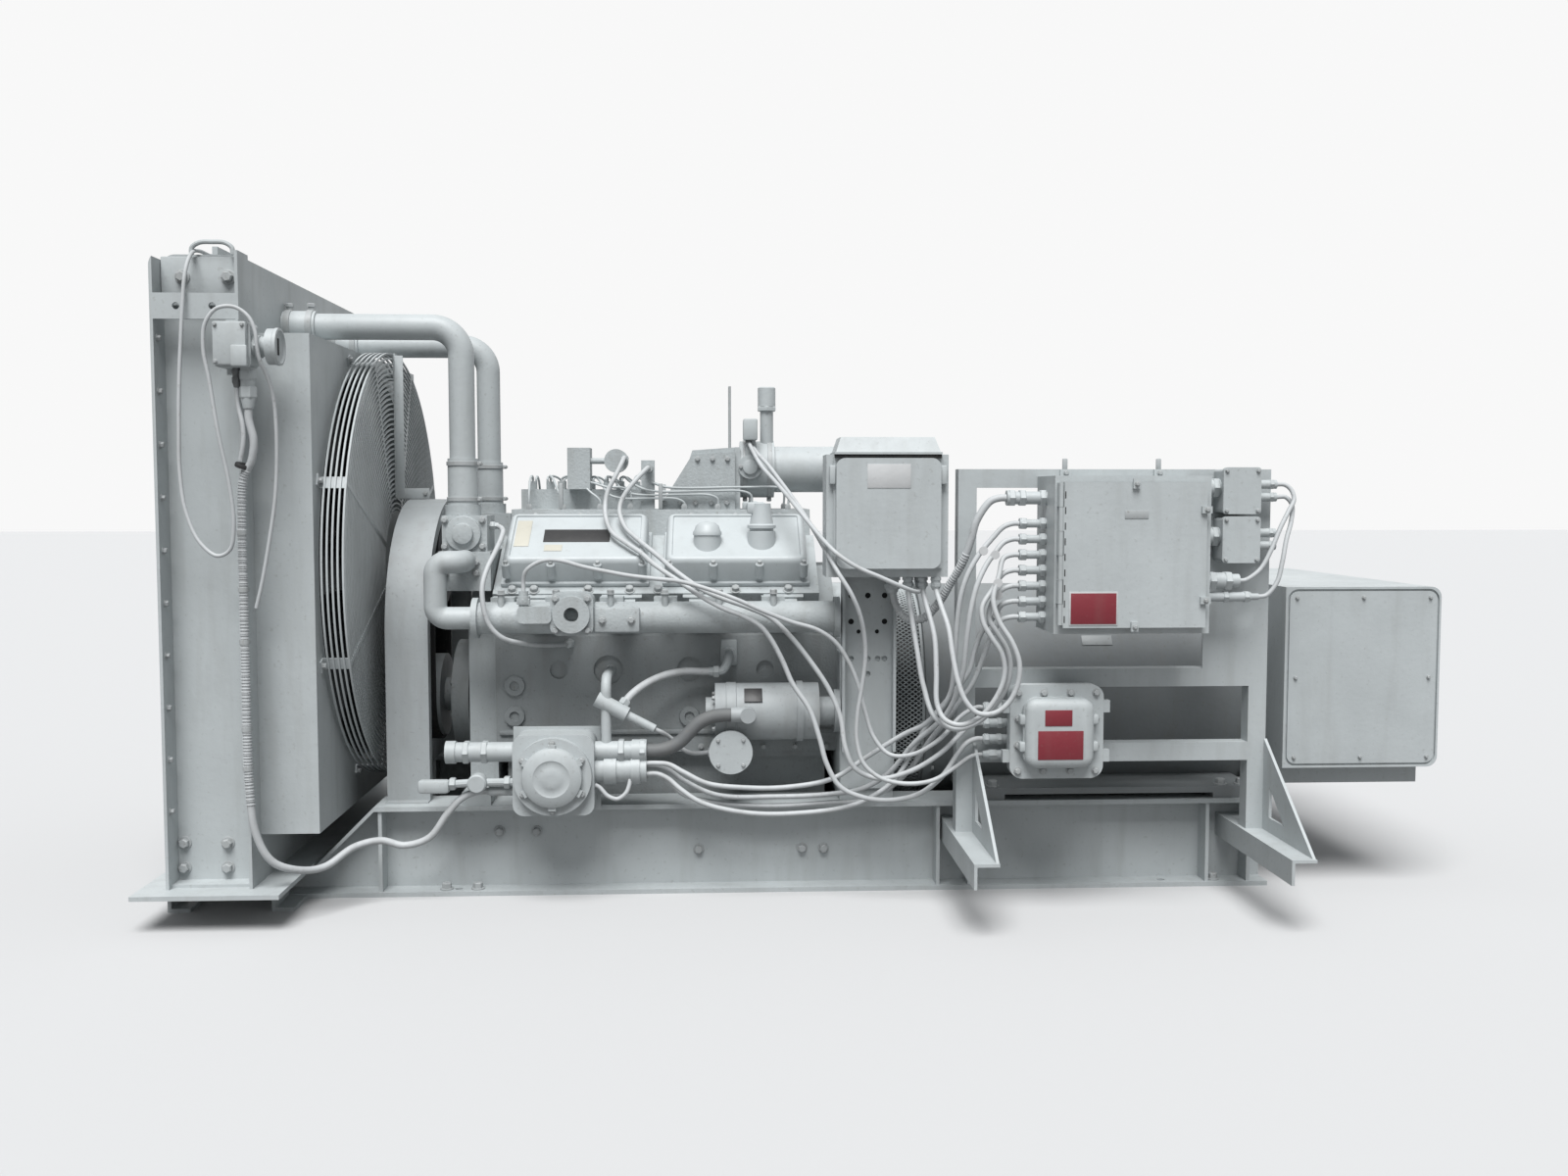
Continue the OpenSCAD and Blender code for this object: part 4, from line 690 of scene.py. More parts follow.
    def ring(self, name: str, at: Sequence[Point], axis: Axis | Vector, radius: float,
             width: float = 0.014, lip: float = 0.002, finish: Finish = GREY,
             sides: int = 6) -> bpy.types.Object:
        """Model a ring with chamfered rims, a hexagon as a rule, and copy it to each place.

        Args:
            name: The piece's name.
            at: Where each ring starts.
            axis: The way it runs from there.
            radius: Its radius.
            width: Its width.
            lip: How far its rims draw in.
            finish: The finish.
            sides: Its sides.

        Returns:
            The finished piece.
        """
        steps = [(radius - lip, 0), (radius, 0.002), (radius, width - 0.002), (radius - lip, width)]
        return self.spun(name, at, axis, steps, finish, sides)

    def tube(self, name: str, routes: Sequence[Sequence[Point]], radius: float,
             finish: Finish = GREY) -> bpy.types.Object:
        """Model and finish fixed pipes or bars along smooth curves, as one piece.

        Args:
            name: The piece's name.
            routes: The points that each pipe passes.
            radius: Its radius.
            finish: The finish.

        Returns:
            The finished piece.
        """
        pipes = [self.pipe(name, route, radius) for route in routes]
        self.choose(pipes)
        bpy.ops.object.convert(target="MESH")
        return self.finish(self.join(name, pipes), finish)

    def glands(self, name: str, at: Sequence[Point], axis: Axis | Vector, radius: float,
               size: float, finish: Finish = GREY) -> bpy.types.Object:
        """Model a cable gland with its two hexagons and copy it to each place.

        Args:
            name: The piece's name.
            at: Where each gland's thread enters.
            axis: The way out of the gland.
            radius: Radius of its hexagons.
            size: Its length.
            finish: The finish.

        Returns:
            The finished piece.
        """
        body, nut, cap = (
            self.turned(part, (0, 0, size * start), Axis.PLUS_Z,
                        self.scaled(steps, radius, size), sides)
            for part, start, steps, sides in (("body", 0, self.GLAND_BODY, 24),
                                              ("nut", 0.08, self.GLAND_NUT, 6),
                                              ("cap", 0.48, self.GLAND_CAP, 6)))
        gland = self.join("gland", [body, nut, cap])
        places = [self.stand(p, axis, 0.4 * i) for i, p in enumerate(at)]
        return self.finish(self.copies(name, gland, places), finish, angle=25.0)

    def clamps(self, name: str, at: Sequence[Point], axis: Axis | Vector, radius: float,
               width: float = 0.012) -> bpy.types.Object:
        """Model a hose clamp with its screw and copy it to each place around a hose.

        Args:
            name: The piece's name.
            at: Middle of each clamp.
            axis: The hose's axis.
            radius: The hose's radius.
            width: The band's width.

        Returns:
            The finished piece.
        """
        half, rim = width / 2, radius + 0.003
        band = self.turned("band", (0, 0, -half), Axis.PLUS_Z,
                           [(radius, 0), (rim, 0.0008), (rim, width - 0.0008), (radius, width)], 40)
        lug = self.block("lug", (radius, -0.012, -half), (radius + 0.012, 0.012, half), 0.003)
        screw = self.turned("screw", (radius + 0.007, -0.03, 0), Axis.PLUS_Y, self.SCREW, 6)
        clamp = self.join("clamp", [band, lug, screw])
        places = [self.stand(p, axis) for p in at]
        return self.finish(self.copies(name, clamp, places), STEEL, angle=30.0)

    @staticmethod
    def smooth(points: Sequence[Point], steps: int = 8) -> list[Vector]:
        """Run a smooth curve through points.

        Args:
            points: The points that it passes.
            steps: Pieces between two points.

        Returns:
            The points of the curve.
        """
        p = [Vector(q) for q in points]
        p = [2 * p[0] - p[1], *p, 2 * p[-1] - p[-2]]
        line = []
        for a, b, c, d in zip(p, p[1:], p[2:], p[3:]):
            before, here, after = (math.sqrt((w - v).length)
                                   for v, w in ((a, b), (b, c), (c, d)))
            leave = c - b + here * ((b - a) / before - (c - a) / (before + here))
            reach = c - b + here * ((d - c) / after - (d - b) / (here + after))
            for j in range(steps):
                t = j / steps
                line.append(b + t * t * (3 - 2 * t) * (c - b)
                            + t * (1 - t) * ((1 - t) * leave - t * reach))
        return [*line, p[-2]]

    def pipe(self, name: str, points: Sequence[Point], radius: float) -> bpy.types.Object:
        """Model a round bar, pipe or cord along a smooth curve.

        Args:
            name: The piece's name.
            points: The points that it passes.
            radius: Its radius.

        Returns:
            A curve object of one open spline, not yet finished.
        """
        line = self.smooth(points)
        curve = bpy.data.curves.new(name, "CURVE")
        curve.dimensions = "3D"
        curve.bevel_depth = radius
        curve.bevel_resolution = 3
        curve.use_fill_caps = True
        spline = curve.splines.new("POLY")
        spline.points.add(len(line) - 1)
        for knot, place in zip(spline.points, line):
            knot.co = (*place, 1)
        spline.use_smooth = True
        piece = bpy.data.objects.new(name, curve)
        bpy.context.collection.objects.link(piece)
        return piece

    @staticmethod
    def length(points: list[Vector]) -> float:
        """Add up the length of a line of points."""
        return sum((b - a).length for a, b in zip(points, points[1:]))


@dataclass
class Cables:
    """The cords of the set, each along the route of its CAD solid."""

    overflow: Path = (
        (-1.596, -0.5604, 1.742), (-1.596, -0.584, 1.742), (-1.598, -0.64, 1.742),
        (-1.6, -0.678, 1.733), (-1.602, -0.708, 1.706), (-1.605, -0.726, 1.664),
        (-1.608, -0.735, 1.6), (-1.611, -0.74, 1.536), (-1.618, -0.745, 1.4),
        (-1.621, -0.748, 1.28), (-1.62, -0.752, 1.176), (-1.606, -0.758, 1.078),
        (-1.572, -0.764, 1.0), (-1.528, -0.768, 0.965), (-1.494, -0.774, 0.98),
        (-1.48, -0.782, 1.04), (-1.486, -0.79, 1.143), (-1.508, -0.798, 1.274),
        (-1.525, -0.802, 1.404), (-1.536, -0.804, 1.476), (-1.53, -0.804, 1.54),
        (-1.502, -0.802, 1.576), (-1.46, -0.8, 1.58), (-1.426, -0.8, 1.556), (-1.411, -0.8, 1.52),
        (-1.408, -0.798, 1.485), (-1.404, -0.79, 1.45), (-1.394, -0.77, 1.415),
        (-1.385, -0.75, 1.36), (-1.382, -0.742, 1.243), (-1.391, -0.735, 1.111),
        (-1.414, -0.73, 0.977), (-1.432, -0.728, 0.89), (-1.448, -0.725, 0.83))
    sensor: Path = (
        (-1.444, -0.76, 1.3336), (-1.444, -0.76, 1.306), (-1.434, -0.758, 1.255),
        (-1.442, -0.752, 1.205), (-1.466, -0.743, 1.16), (-1.474, -0.74, 1.04),
        (-1.474, -0.74, 0.88), (-1.474, -0.74, 0.75), (-1.474, -0.74, 0.63), (-1.474, -0.74, 0.5),
        (-1.472, -0.74, 0.38), (-1.458, -0.74, 0.25), (-1.425, -0.725, 0.175),
        (-1.376, -0.69, 0.142), (-1.32, -0.62, 0.13), (-1.255, -0.56, 0.168),
        (-1.19, -0.532, 0.178), (-1.13, -0.524, 0.162), (-1.06, -0.528, 0.184),
        (-1.01, -0.53, 0.25), (-0.972, -0.525, 0.291), (-0.926, -0.52, 0.309),
        (-0.8984, -0.52, 0.309))
    starter: Path = (
        (-0.4676, -0.52, 0.417), (-0.448, -0.52, 0.417), (-0.411, -0.521, 0.423),
        (-0.378, -0.522, 0.44), (-0.352, -0.524, 0.466), (-0.326, -0.526, 0.492),
        (-0.293, -0.527, 0.509), (-0.256, -0.527, 0.515), (-0.2364, -0.527, 0.515))
    gland_x: float = 0.51967
    entry_x: float = 0.48467
    cord_gap: float = 0.0004
    straight: float = 0.016
    sag_at: float = 0.042
    sag: float = 0.009
    fitting_lead: float = 0.028
    exit_lead: float = 0.026
    panel: tuple[Path, ...] = (
        ((0.452, -0.668, 0.738), (0.435, -0.655, 0.681), (0.412, -0.64, 0.615),
         (0.385, -0.626, 0.57), (0.35, -0.602, 0.512), (0.305, -0.558, 0.44),
         (0.255, -0.512, 0.35), (0.2, -0.484, 0.295), (0.13, -0.478, 0.264),
         (0.046, -0.476, 0.258), (-0.116, -0.478, 0.25), (-0.277, -0.49, 0.264),
         (-0.368, -0.5, 0.29), (-0.408, -0.508, 0.326)),
        ((0.462, -0.668, 0.796), (0.432, -0.652, 0.752), (0.414, -0.646, 0.7),
         (0.4, -0.642, 0.645), (0.362, -0.62, 0.585), (0.312, -0.576, 0.51),
         (0.268, -0.545, 0.425), (0.215, -0.542, 0.335), (0.11, -0.552, 0.27),
         (-0.08, -0.56, 0.246), (-0.21, -0.56, 0.252), (-0.318, -0.552, 0.278),
         (-0.374, -0.54, 0.312), (-0.41, -0.53, 0.341)),
        ((0.454, -0.696, 0.842), (0.442, -0.698, 0.795), (0.462, -0.714, 0.755),
         (0.486, -0.722, 0.712), (0.495, -0.724, 0.668), (0.488, -0.722, 0.622),
         (0.455, -0.718, 0.562), (0.41, -0.712, 0.518), (0.352, -0.7, 0.5), (0.302, -0.68, 0.53),
         (0.276, -0.652, 0.61), (0.262, -0.63, 0.7), (0.248, -0.61, 0.8)),
        ((0.446, -0.714, 0.868), (0.418, -0.728, 0.826), (0.42, -0.736, 0.786),
         (0.44, -0.742, 0.748), (0.466, -0.744, 0.708), (0.476, -0.744, 0.668),
         (0.47, -0.744, 0.624), (0.446, -0.742, 0.576), (0.41, -0.74, 0.536),
         (0.362, -0.732, 0.516), (0.324, -0.718, 0.528), (0.306, -0.7, 0.566),
         (0.306, -0.682, 0.65), (0.304, -0.66, 0.74), (0.286, -0.622, 0.829)),
        ((0.462, -0.726, 0.908), (0.444, -0.744, 0.846), (0.458, -0.756, 0.79),
         (0.49, -0.768, 0.736), (0.508, -0.772, 0.683), (0.505, -0.772, 0.629),
         (0.483, -0.77, 0.581), (0.445, -0.768, 0.552), (0.402, -0.764, 0.552),
         (0.372, -0.756, 0.582), (0.353, -0.744, 0.634), (0.342, -0.724, 0.7),
         (0.335, -0.7, 0.766), (0.32, -0.662, 0.826)),
        ((0.452, -0.716, 0.966), (0.428, -0.724, 0.934), (0.404, -0.734, 0.886),
         (0.388, -0.738, 0.826), (0.378, -0.73, 0.745), (0.37, -0.704, 0.638),
         (0.338, -0.652, 0.532), (0.26, -0.582, 0.44), (0.2, -0.526, 0.35), (0.13, -0.494, 0.3),
         (0.046, -0.486, 0.284), (-0.116, -0.486, 0.278), (-0.277, -0.502, 0.288),
         (-0.366, -0.508, 0.33), (-0.408, -0.507, 0.36)),
        ((0.448, -0.702, 1.004), (0.415, -0.708, 0.966), (0.385, -0.71, 0.915),
         (0.366, -0.706, 0.855), (0.358, -0.694, 0.775), (0.355, -0.68, 0.69),
         (0.345, -0.655, 0.58), (0.29, -0.606, 0.5), (0.235, -0.566, 0.464), (0.141, -0.54, 0.4),
         (0.043, -0.546, 0.34), (-0.085, -0.552, 0.318), (-0.2, -0.552, 0.318),
         (-0.302, -0.548, 0.33), (-0.366, -0.541, 0.36), (-0.408, -0.534, 0.381)),
        ((0.408, -0.694, 1.05), (0.396, -0.684, 1.0), (0.378, -0.666, 0.942),
         (0.352, -0.634, 0.886), (0.322, -0.6, 0.825), (0.285, -0.57, 0.782),
         (0.242, -0.552, 0.782), (0.214, -0.544, 0.82)))
    ends: Path = (
        (-0.468, -0.51, 0.349), (-0.468, -0.527, 0.354), (0.24, -0.6, 0.899), (0.279, -0.6, 0.899),
        (0.312, -0.622, 0.899), (-0.468, -0.506, 0.371), (-0.468, -0.532, 0.384),
        (0.205, -0.542, 0.899))
    to_hood: tuple[int, ...] = (2, 3, 4, 7)
    tag: Steps = ((0.0115, 0), (0.012, 0.0004), (0.012, 0.0016), (0.0115, 0.002))
    tagged: tuple[tuple[int, int], ...] = ((1, 22), (2, 20), (4, 26), (5, 24), (6, 30))
    rib: Steps = ((0.0099, 0), (0.0118, 0.0008), (0.0118, 0.0028), (0.0099, 0.0036))
    rib_pitch: float = 0.0075
    engine: tuple[Path, ...] = (
        ((-0.55, -0.218, 1.21), (-0.568, -0.244, 1.17), (-0.588, -0.254, 1.13),
         (-0.595, -0.268, 1.09), (-0.59, -0.3, 1.048), (-0.57, -0.34, 1.011),
         (-0.531, -0.378, 0.984), (-0.485, -0.42, 0.956), (-0.446, -0.47, 0.926),
         (-0.373, -0.524, 0.88), (-0.315, -0.548, 0.842), (-0.258, -0.564, 0.812),
         (-0.202, -0.57, 0.79), (-0.158, -0.568, 0.764), (-0.13, -0.562, 0.73),
         (-0.098, -0.558, 0.671), (-0.068, -0.558, 0.603), (-0.023, -0.566, 0.535),
         (0.004, -0.578, 0.456), (0.022, -0.588, 0.39), (0.058, -0.596, 0.328),
         (0.116, -0.602, 0.3), (0.19, -0.612, 0.292), (0.27, -0.628, 0.312), (0.332, -0.64, 0.364),
         (0.372, -0.64, 0.422)),
        ((-0.486, -0.216, 1.186), (-0.509, -0.238, 1.16), (-0.534, -0.25, 1.128),
         (-0.55, -0.258, 1.098), (-0.553, -0.278, 1.068), (-0.534, -0.322, 1.025),
         (-0.495, -0.368, 0.991), (-0.44, -0.428, 0.95), (-0.38, -0.498, 0.904),
         (-0.308, -0.536, 0.858), (-0.244, -0.546, 0.832), (-0.188, -0.548, 0.812),
         (-0.128, -0.548, 0.784), (-0.075, -0.546, 0.734), (-0.028, -0.544, 0.676),
         (0.03, -0.552, 0.59), (0.062, -0.566, 0.512), (0.074, -0.582, 0.432),
         (0.1, -0.592, 0.376), (0.162, -0.602, 0.35), (0.244, -0.622, 0.372),
         (0.322, -0.646, 0.424), (0.378, -0.648, 0.478)),
        ((-0.789, -0.541, 0.912), (-0.764, -0.546, 0.932), (-0.731, -0.55, 0.943),
         (-0.689, -0.552, 0.94), (-0.64, -0.552, 0.926), (-0.575, -0.55, 0.912),
         (-0.51, -0.55, 0.9), (-0.443, -0.552, 0.892), (-0.37, -0.558, 0.884),
         (-0.29, -0.574, 0.862), (-0.218, -0.588, 0.836), (-0.15, -0.588, 0.806),
         (-0.075, -0.58, 0.776), (0.0, -0.572, 0.752), (0.048, -0.57, 0.718),
         (0.084, -0.572, 0.664), (0.11, -0.576, 0.6), (0.128, -0.582, 0.53), (0.15, -0.59, 0.462),
         (0.192, -0.604, 0.416), (0.252, -0.628, 0.42), (0.322, -0.66, 0.468),
         (0.372, -0.66, 0.524)))
    engine_exits: Path = (
        (-0.545, -0.165, 1.226), (-0.476, -0.165, 1.197), (-0.797, -0.532, 0.858))
    inlets: Path = (
        (0.44, -0.635, 0.462), (0.44, -0.635, 0.505), (0.44, -0.635, 0.548))
    loops: tuple[tuple[str, float, Path], ...] = (
        ("actuator_cable_a", 0.006, (
            (-0.177, -0.105, 1.277), (-0.171, -0.125, 1.262), (-0.158, -0.165, 1.233),
            (-0.14, -0.22, 1.2), (-0.108, -0.296, 1.16), (-0.076, -0.38, 1.118),
            (-0.045, -0.47, 1.074), (-0.014, -0.56, 1.03), (0.014, -0.636, 0.992),
            (0.046, -0.676, 0.96), (0.095, -0.682, 0.928), (0.155, -0.684, 0.902),
            (0.21, -0.676, 0.878), (0.25, -0.65, 0.862), (0.268, -0.615, 0.86),
            (0.268, -0.585, 0.872), (0.266, -0.568, 0.8985))),
        ("actuator_cable_b", 0.006, (
            (-0.171, -0.085, 1.274), (-0.164, -0.105, 1.262), (-0.148, -0.14, 1.238),
            (-0.122, -0.205, 1.206), (-0.094, -0.28, 1.164), (-0.064, -0.36, 1.118),
            (-0.034, -0.45, 1.068), (-0.006, -0.54, 1.016), (0.02, -0.625, 0.962),
            (0.046, -0.672, 0.912), (0.078, -0.682, 0.86), (0.104, -0.668, 0.8),
            (0.118, -0.648, 0.74), (0.122, -0.636, 0.68), (0.113, -0.63, 0.6),
            (0.102, -0.63, 0.53), (0.1, -0.634, 0.46), (0.117, -0.642, 0.4), (0.16, -0.648, 0.362),
            (0.225, -0.654, 0.346), (0.3, -0.658, 0.354), (0.362, -0.648, 0.386),
            (0.404, -0.638, 0.412), (0.424, -0.635, 0.418), (0.4395, -0.635, 0.419))),
        ("breather_hose", 0.007, (
            (-0.9145, -0.335, 1.03), (-0.894, -0.338, 1.03), (-0.874, -0.372, 1.02),
            (-0.872, -0.416, 0.998), (-0.882, -0.462, 0.962), (-0.897, -0.506, 0.92),
            (-0.907, -0.534, 0.872), (-0.904, -0.542, 0.82), (-0.89, -0.538, 0.768),
            (-0.858, -0.524, 0.731), (-0.807, -0.486, 0.711), (-0.758, -0.444, 0.702),
            (-0.722, -0.402, 0.698), (-0.702, -0.366, 0.696), (-0.694, -0.3365, 0.695))),
        ("side_hose", 0.011, (
            (-0.291, -0.4, 0.62), (-0.316, -0.401, 0.62), (-0.363, -0.41, 0.622),
            (-0.424, -0.436, 0.613), (-0.478, -0.47, 0.591), (-0.512, -0.492, 0.566),
            (-0.53, -0.506, 0.546))),
        ("conduit_tail", 0.006, (
            (-0.4455, -0.52, 0.4765), (-0.43, -0.513, 0.468), (-0.41, -0.492, 0.452),
            (-0.39, -0.478, 0.432), (-0.37, -0.472, 0.411), (-0.345, -0.47, 0.4),
            (-0.318, -0.47, 0.4), (-0.2975, -0.47, 0.402))),
        ("panel_loop_a", 0.006, (
            (1.1085, -0.7, 0.891), (1.128, -0.7, 0.893), (1.166, -0.699, 0.92),
            (1.196, -0.695, 0.97), (1.224, -0.685, 1.03), (1.252, -0.671, 1.076),
            (1.27, -0.659, 1.106), (1.266, -0.648, 1.132), (1.251, -0.642, 1.145),
            (1.2285, -0.64, 1.146))),
        ("panel_loop_b", 0.006, (
            (1.1625, -0.7, 0.848), (1.184, -0.7, 0.852), (1.212, -0.7, 0.886),
            (1.228, -0.694, 0.94), (1.244, -0.678, 0.998), (1.264, -0.66, 1.052),
            (1.27, -0.646, 1.092), (1.254, -0.641, 1.112), (1.2285, -0.64, 1.112))),
        ("union_loop", 0.006, (
            (-0.6075, -0.552, 0.33), (-0.594, -0.553, 0.322), (-0.572, -0.558, 0.3),
            (-0.546, -0.56, 0.292), (-0.524, -0.556, 0.306), (-0.515, -0.55, 0.326),
            (-0.512, -0.545, 0.343))),
        ("switch_tail", 0.006, (
            (-1.472, -0.758, 1.3845), (-1.472, -0.758, 1.362), (-1.468, -0.76, 1.334),
            (-1.459, -0.765, 1.3), (-1.456, -0.766, 1.266), (-1.459, -0.765, 1.236),
            (-1.466, -0.762, 1.206))))

    def route(self, i: int) -> list[Point]:
        """Give the whole route of a panel cable, from its gland to its far fitting.

        Args:
            i: The cable's place in the list of routes.

        Returns:
            The points of its route.
        """
        x = self.entry_x if i == 7 else self.gland_x
        y, z = GLAND_Y, GLAND_Z[i]
        aside = y + (self.panel[i][0][1] - y) / 4
        end = Vector(self.ends[i])
        out = Vector((0, 0, -1) if i in self.to_hood else (1, 0, 0))
        return [(x - self.cord_gap, y, z), (x - self.straight, y, z),
                (x - self.sag_at, aside, z - self.sag), *self.panel[i],
                tuple(end + self.fitting_lead * out), tuple(end + self.cord_gap * out)]

    def engine_route(self, i: int) -> list[Point]:
        """Give the whole route of an engine cable, from its fitting to the flameproof box.

        Args:
            i: The cable's place in the list of routes.

        Returns:
            The points of its route.
        """
        start, end = Vector(self.engine_exits[i]), Vector(self.inlets[i])
        out = Vector((0, 0, 1) if i == 2 else (0, -1, 0))
        back = Vector((self.sag_at, (end.y - self.engine[i][-1][1]) / 3, 0.01))
        return [tuple(start + self.cord_gap * out), tuple(start + self.exit_lead * out),
                *self.engine[i], tuple(end - back), tuple(end - Vector((self.straight, 0, 0))),
                tuple(end - Vector((self.cord_gap, 0, 0)))]

    def lay(self, shop: Workshop, name: str, points: list[Point], radius: float,
            finish: Finish = JACKET, node: bool = True) -> None:
        """Args:
            shop: The workshop.
            name: The cord's name, which is also its CAD node's.
            points: Its route, from its exit.
            radius: Its radius.
            finish: Its finish.
            node: Whether a CAD node stands for it.
        """
        cord = shop.finish(shop.pipe("cord_" + name, points, radius), finish)
        if node:
            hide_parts(name)
        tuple(points[0])
        round(shop.length(shop.smooth(points)), 4)

    def build(self, shop: Workshop) -> None:
        """Lay every cord.

        Args:
            shop: The workshop.
        """
        self.lay(shop, "overflow_hose", self.overflow, 0.005)
        self.lay(shop, "sensor_conduit", self.sensor, 0.010)
        self.lay(shop, "starter_conduit", self.starter, 0.019, CONDUIT)
        for i, letter in enumerate("abcdefgh"):
            self.lay(shop, "panel_cable_" + letter, self.route(i), 0.010 if i == 7 else 0.007)
        for i, letter in enumerate("abc"):
            self.lay(shop, "engine_cable_" + letter, self.engine_route(i),
                     0.006 if i == 2 else 0.007)
        for name, radius, points in self.loops:
            self.lay(shop, name, points, radius, node=False)
        self.tags(shop)

    def tags(self, shop: Workshop) -> None:
        """Hang blank tags on five panel cables and model the ribs of the two conduits.

        Args:
            shop: The workshop.
        """
        tag = shop.turned("tag", (0, 0, 0), Axis.PLUS_Z, self.tag, 24)
        places = []
        for i, k in self.tagged:
            at = shop.smooth(self.route(i))[k]
            places.append(shop.stand((at.x, at.y - 0.0072, at.z - 0.004), Axis.MINUS_Y))
        shop.finish(shop.copies("cable_tags", tag, places), WHITE)
        self.ribs(shop, "stout_cable_ribs", self.route(7), 0.2, 0.52)
        self.ribs(shop, "sensor_conduit_ribs", self.sensor, 0.16, 1.02)

    def ribs(self, shop: Workshop, name: str, points: list[Point], start: float,
             stop: float) -> None:
        """Model the ribs of a conduit of 20 mm between two lengths along its route.

        Args:
            shop: The workshop.
            name: The piece's name.
            points: The conduit's route.
            start: Length along it to the first rib.
            stop: Length along it to the last rib.
        """
        rib = shop.turned("rib", (0, 0, -self.rib[-1][1] / 2), Axis.PLUS_Z, self.rib, 16)
        line = shop.smooth(points, 30)
        run, spots = 0.0, []
        for a, b in zip(line, line[1:]):
            run += (b - a).length
            if start + self.rib_pitch * len(spots) < run < stop:
                spots.append(shop.stand(b, b - a))
        shop.finish(shop.copies(name, rib, spots), JACKET)


@dataclass
class Skid:
    """Fasteners of the base and of the feet on it."""

    web_y: float = -0.391
    web_bolts: Steps = (
        (-0.891, 0.167), (-0.786, 0.166), (-0.328, 0.109), (-0.033, 0.109), (0.029, 0.108))
    flange_at: Pair = (-0.43, 0.0135)
    flange_bolts: Row = (-1.034, -0.947, 1.151)
    foot_at: Pair = (-0.425, 0.288)
    foot_x: Row = (0.45, 0.51, 1.17, 1.23)
    web_across: float = 0.022
    top_across: float = 0.026

    def build(self, shop: Workshop) -> None:
        """Model the bolts.

        Args:
            shop: The workshop.
        """
        for side, name, out in SIDES:
            shop.bolts("rail_web_bolts_" + name,
                       [(x, side * self.web_y, z) for x, z in self.web_bolts], out, self.web_across)
            for kind, (y, z), places in (("rail_flange", self.flange_at, self.flange_bolts),
                                         ("generator_foot", self.foot_at, self.foot_x)):
                shop.bolts(f"{kind}_bolts_{name}", [(x, side * y, z) for x in places], Axis.PLUS_Z,
                           self.top_across)


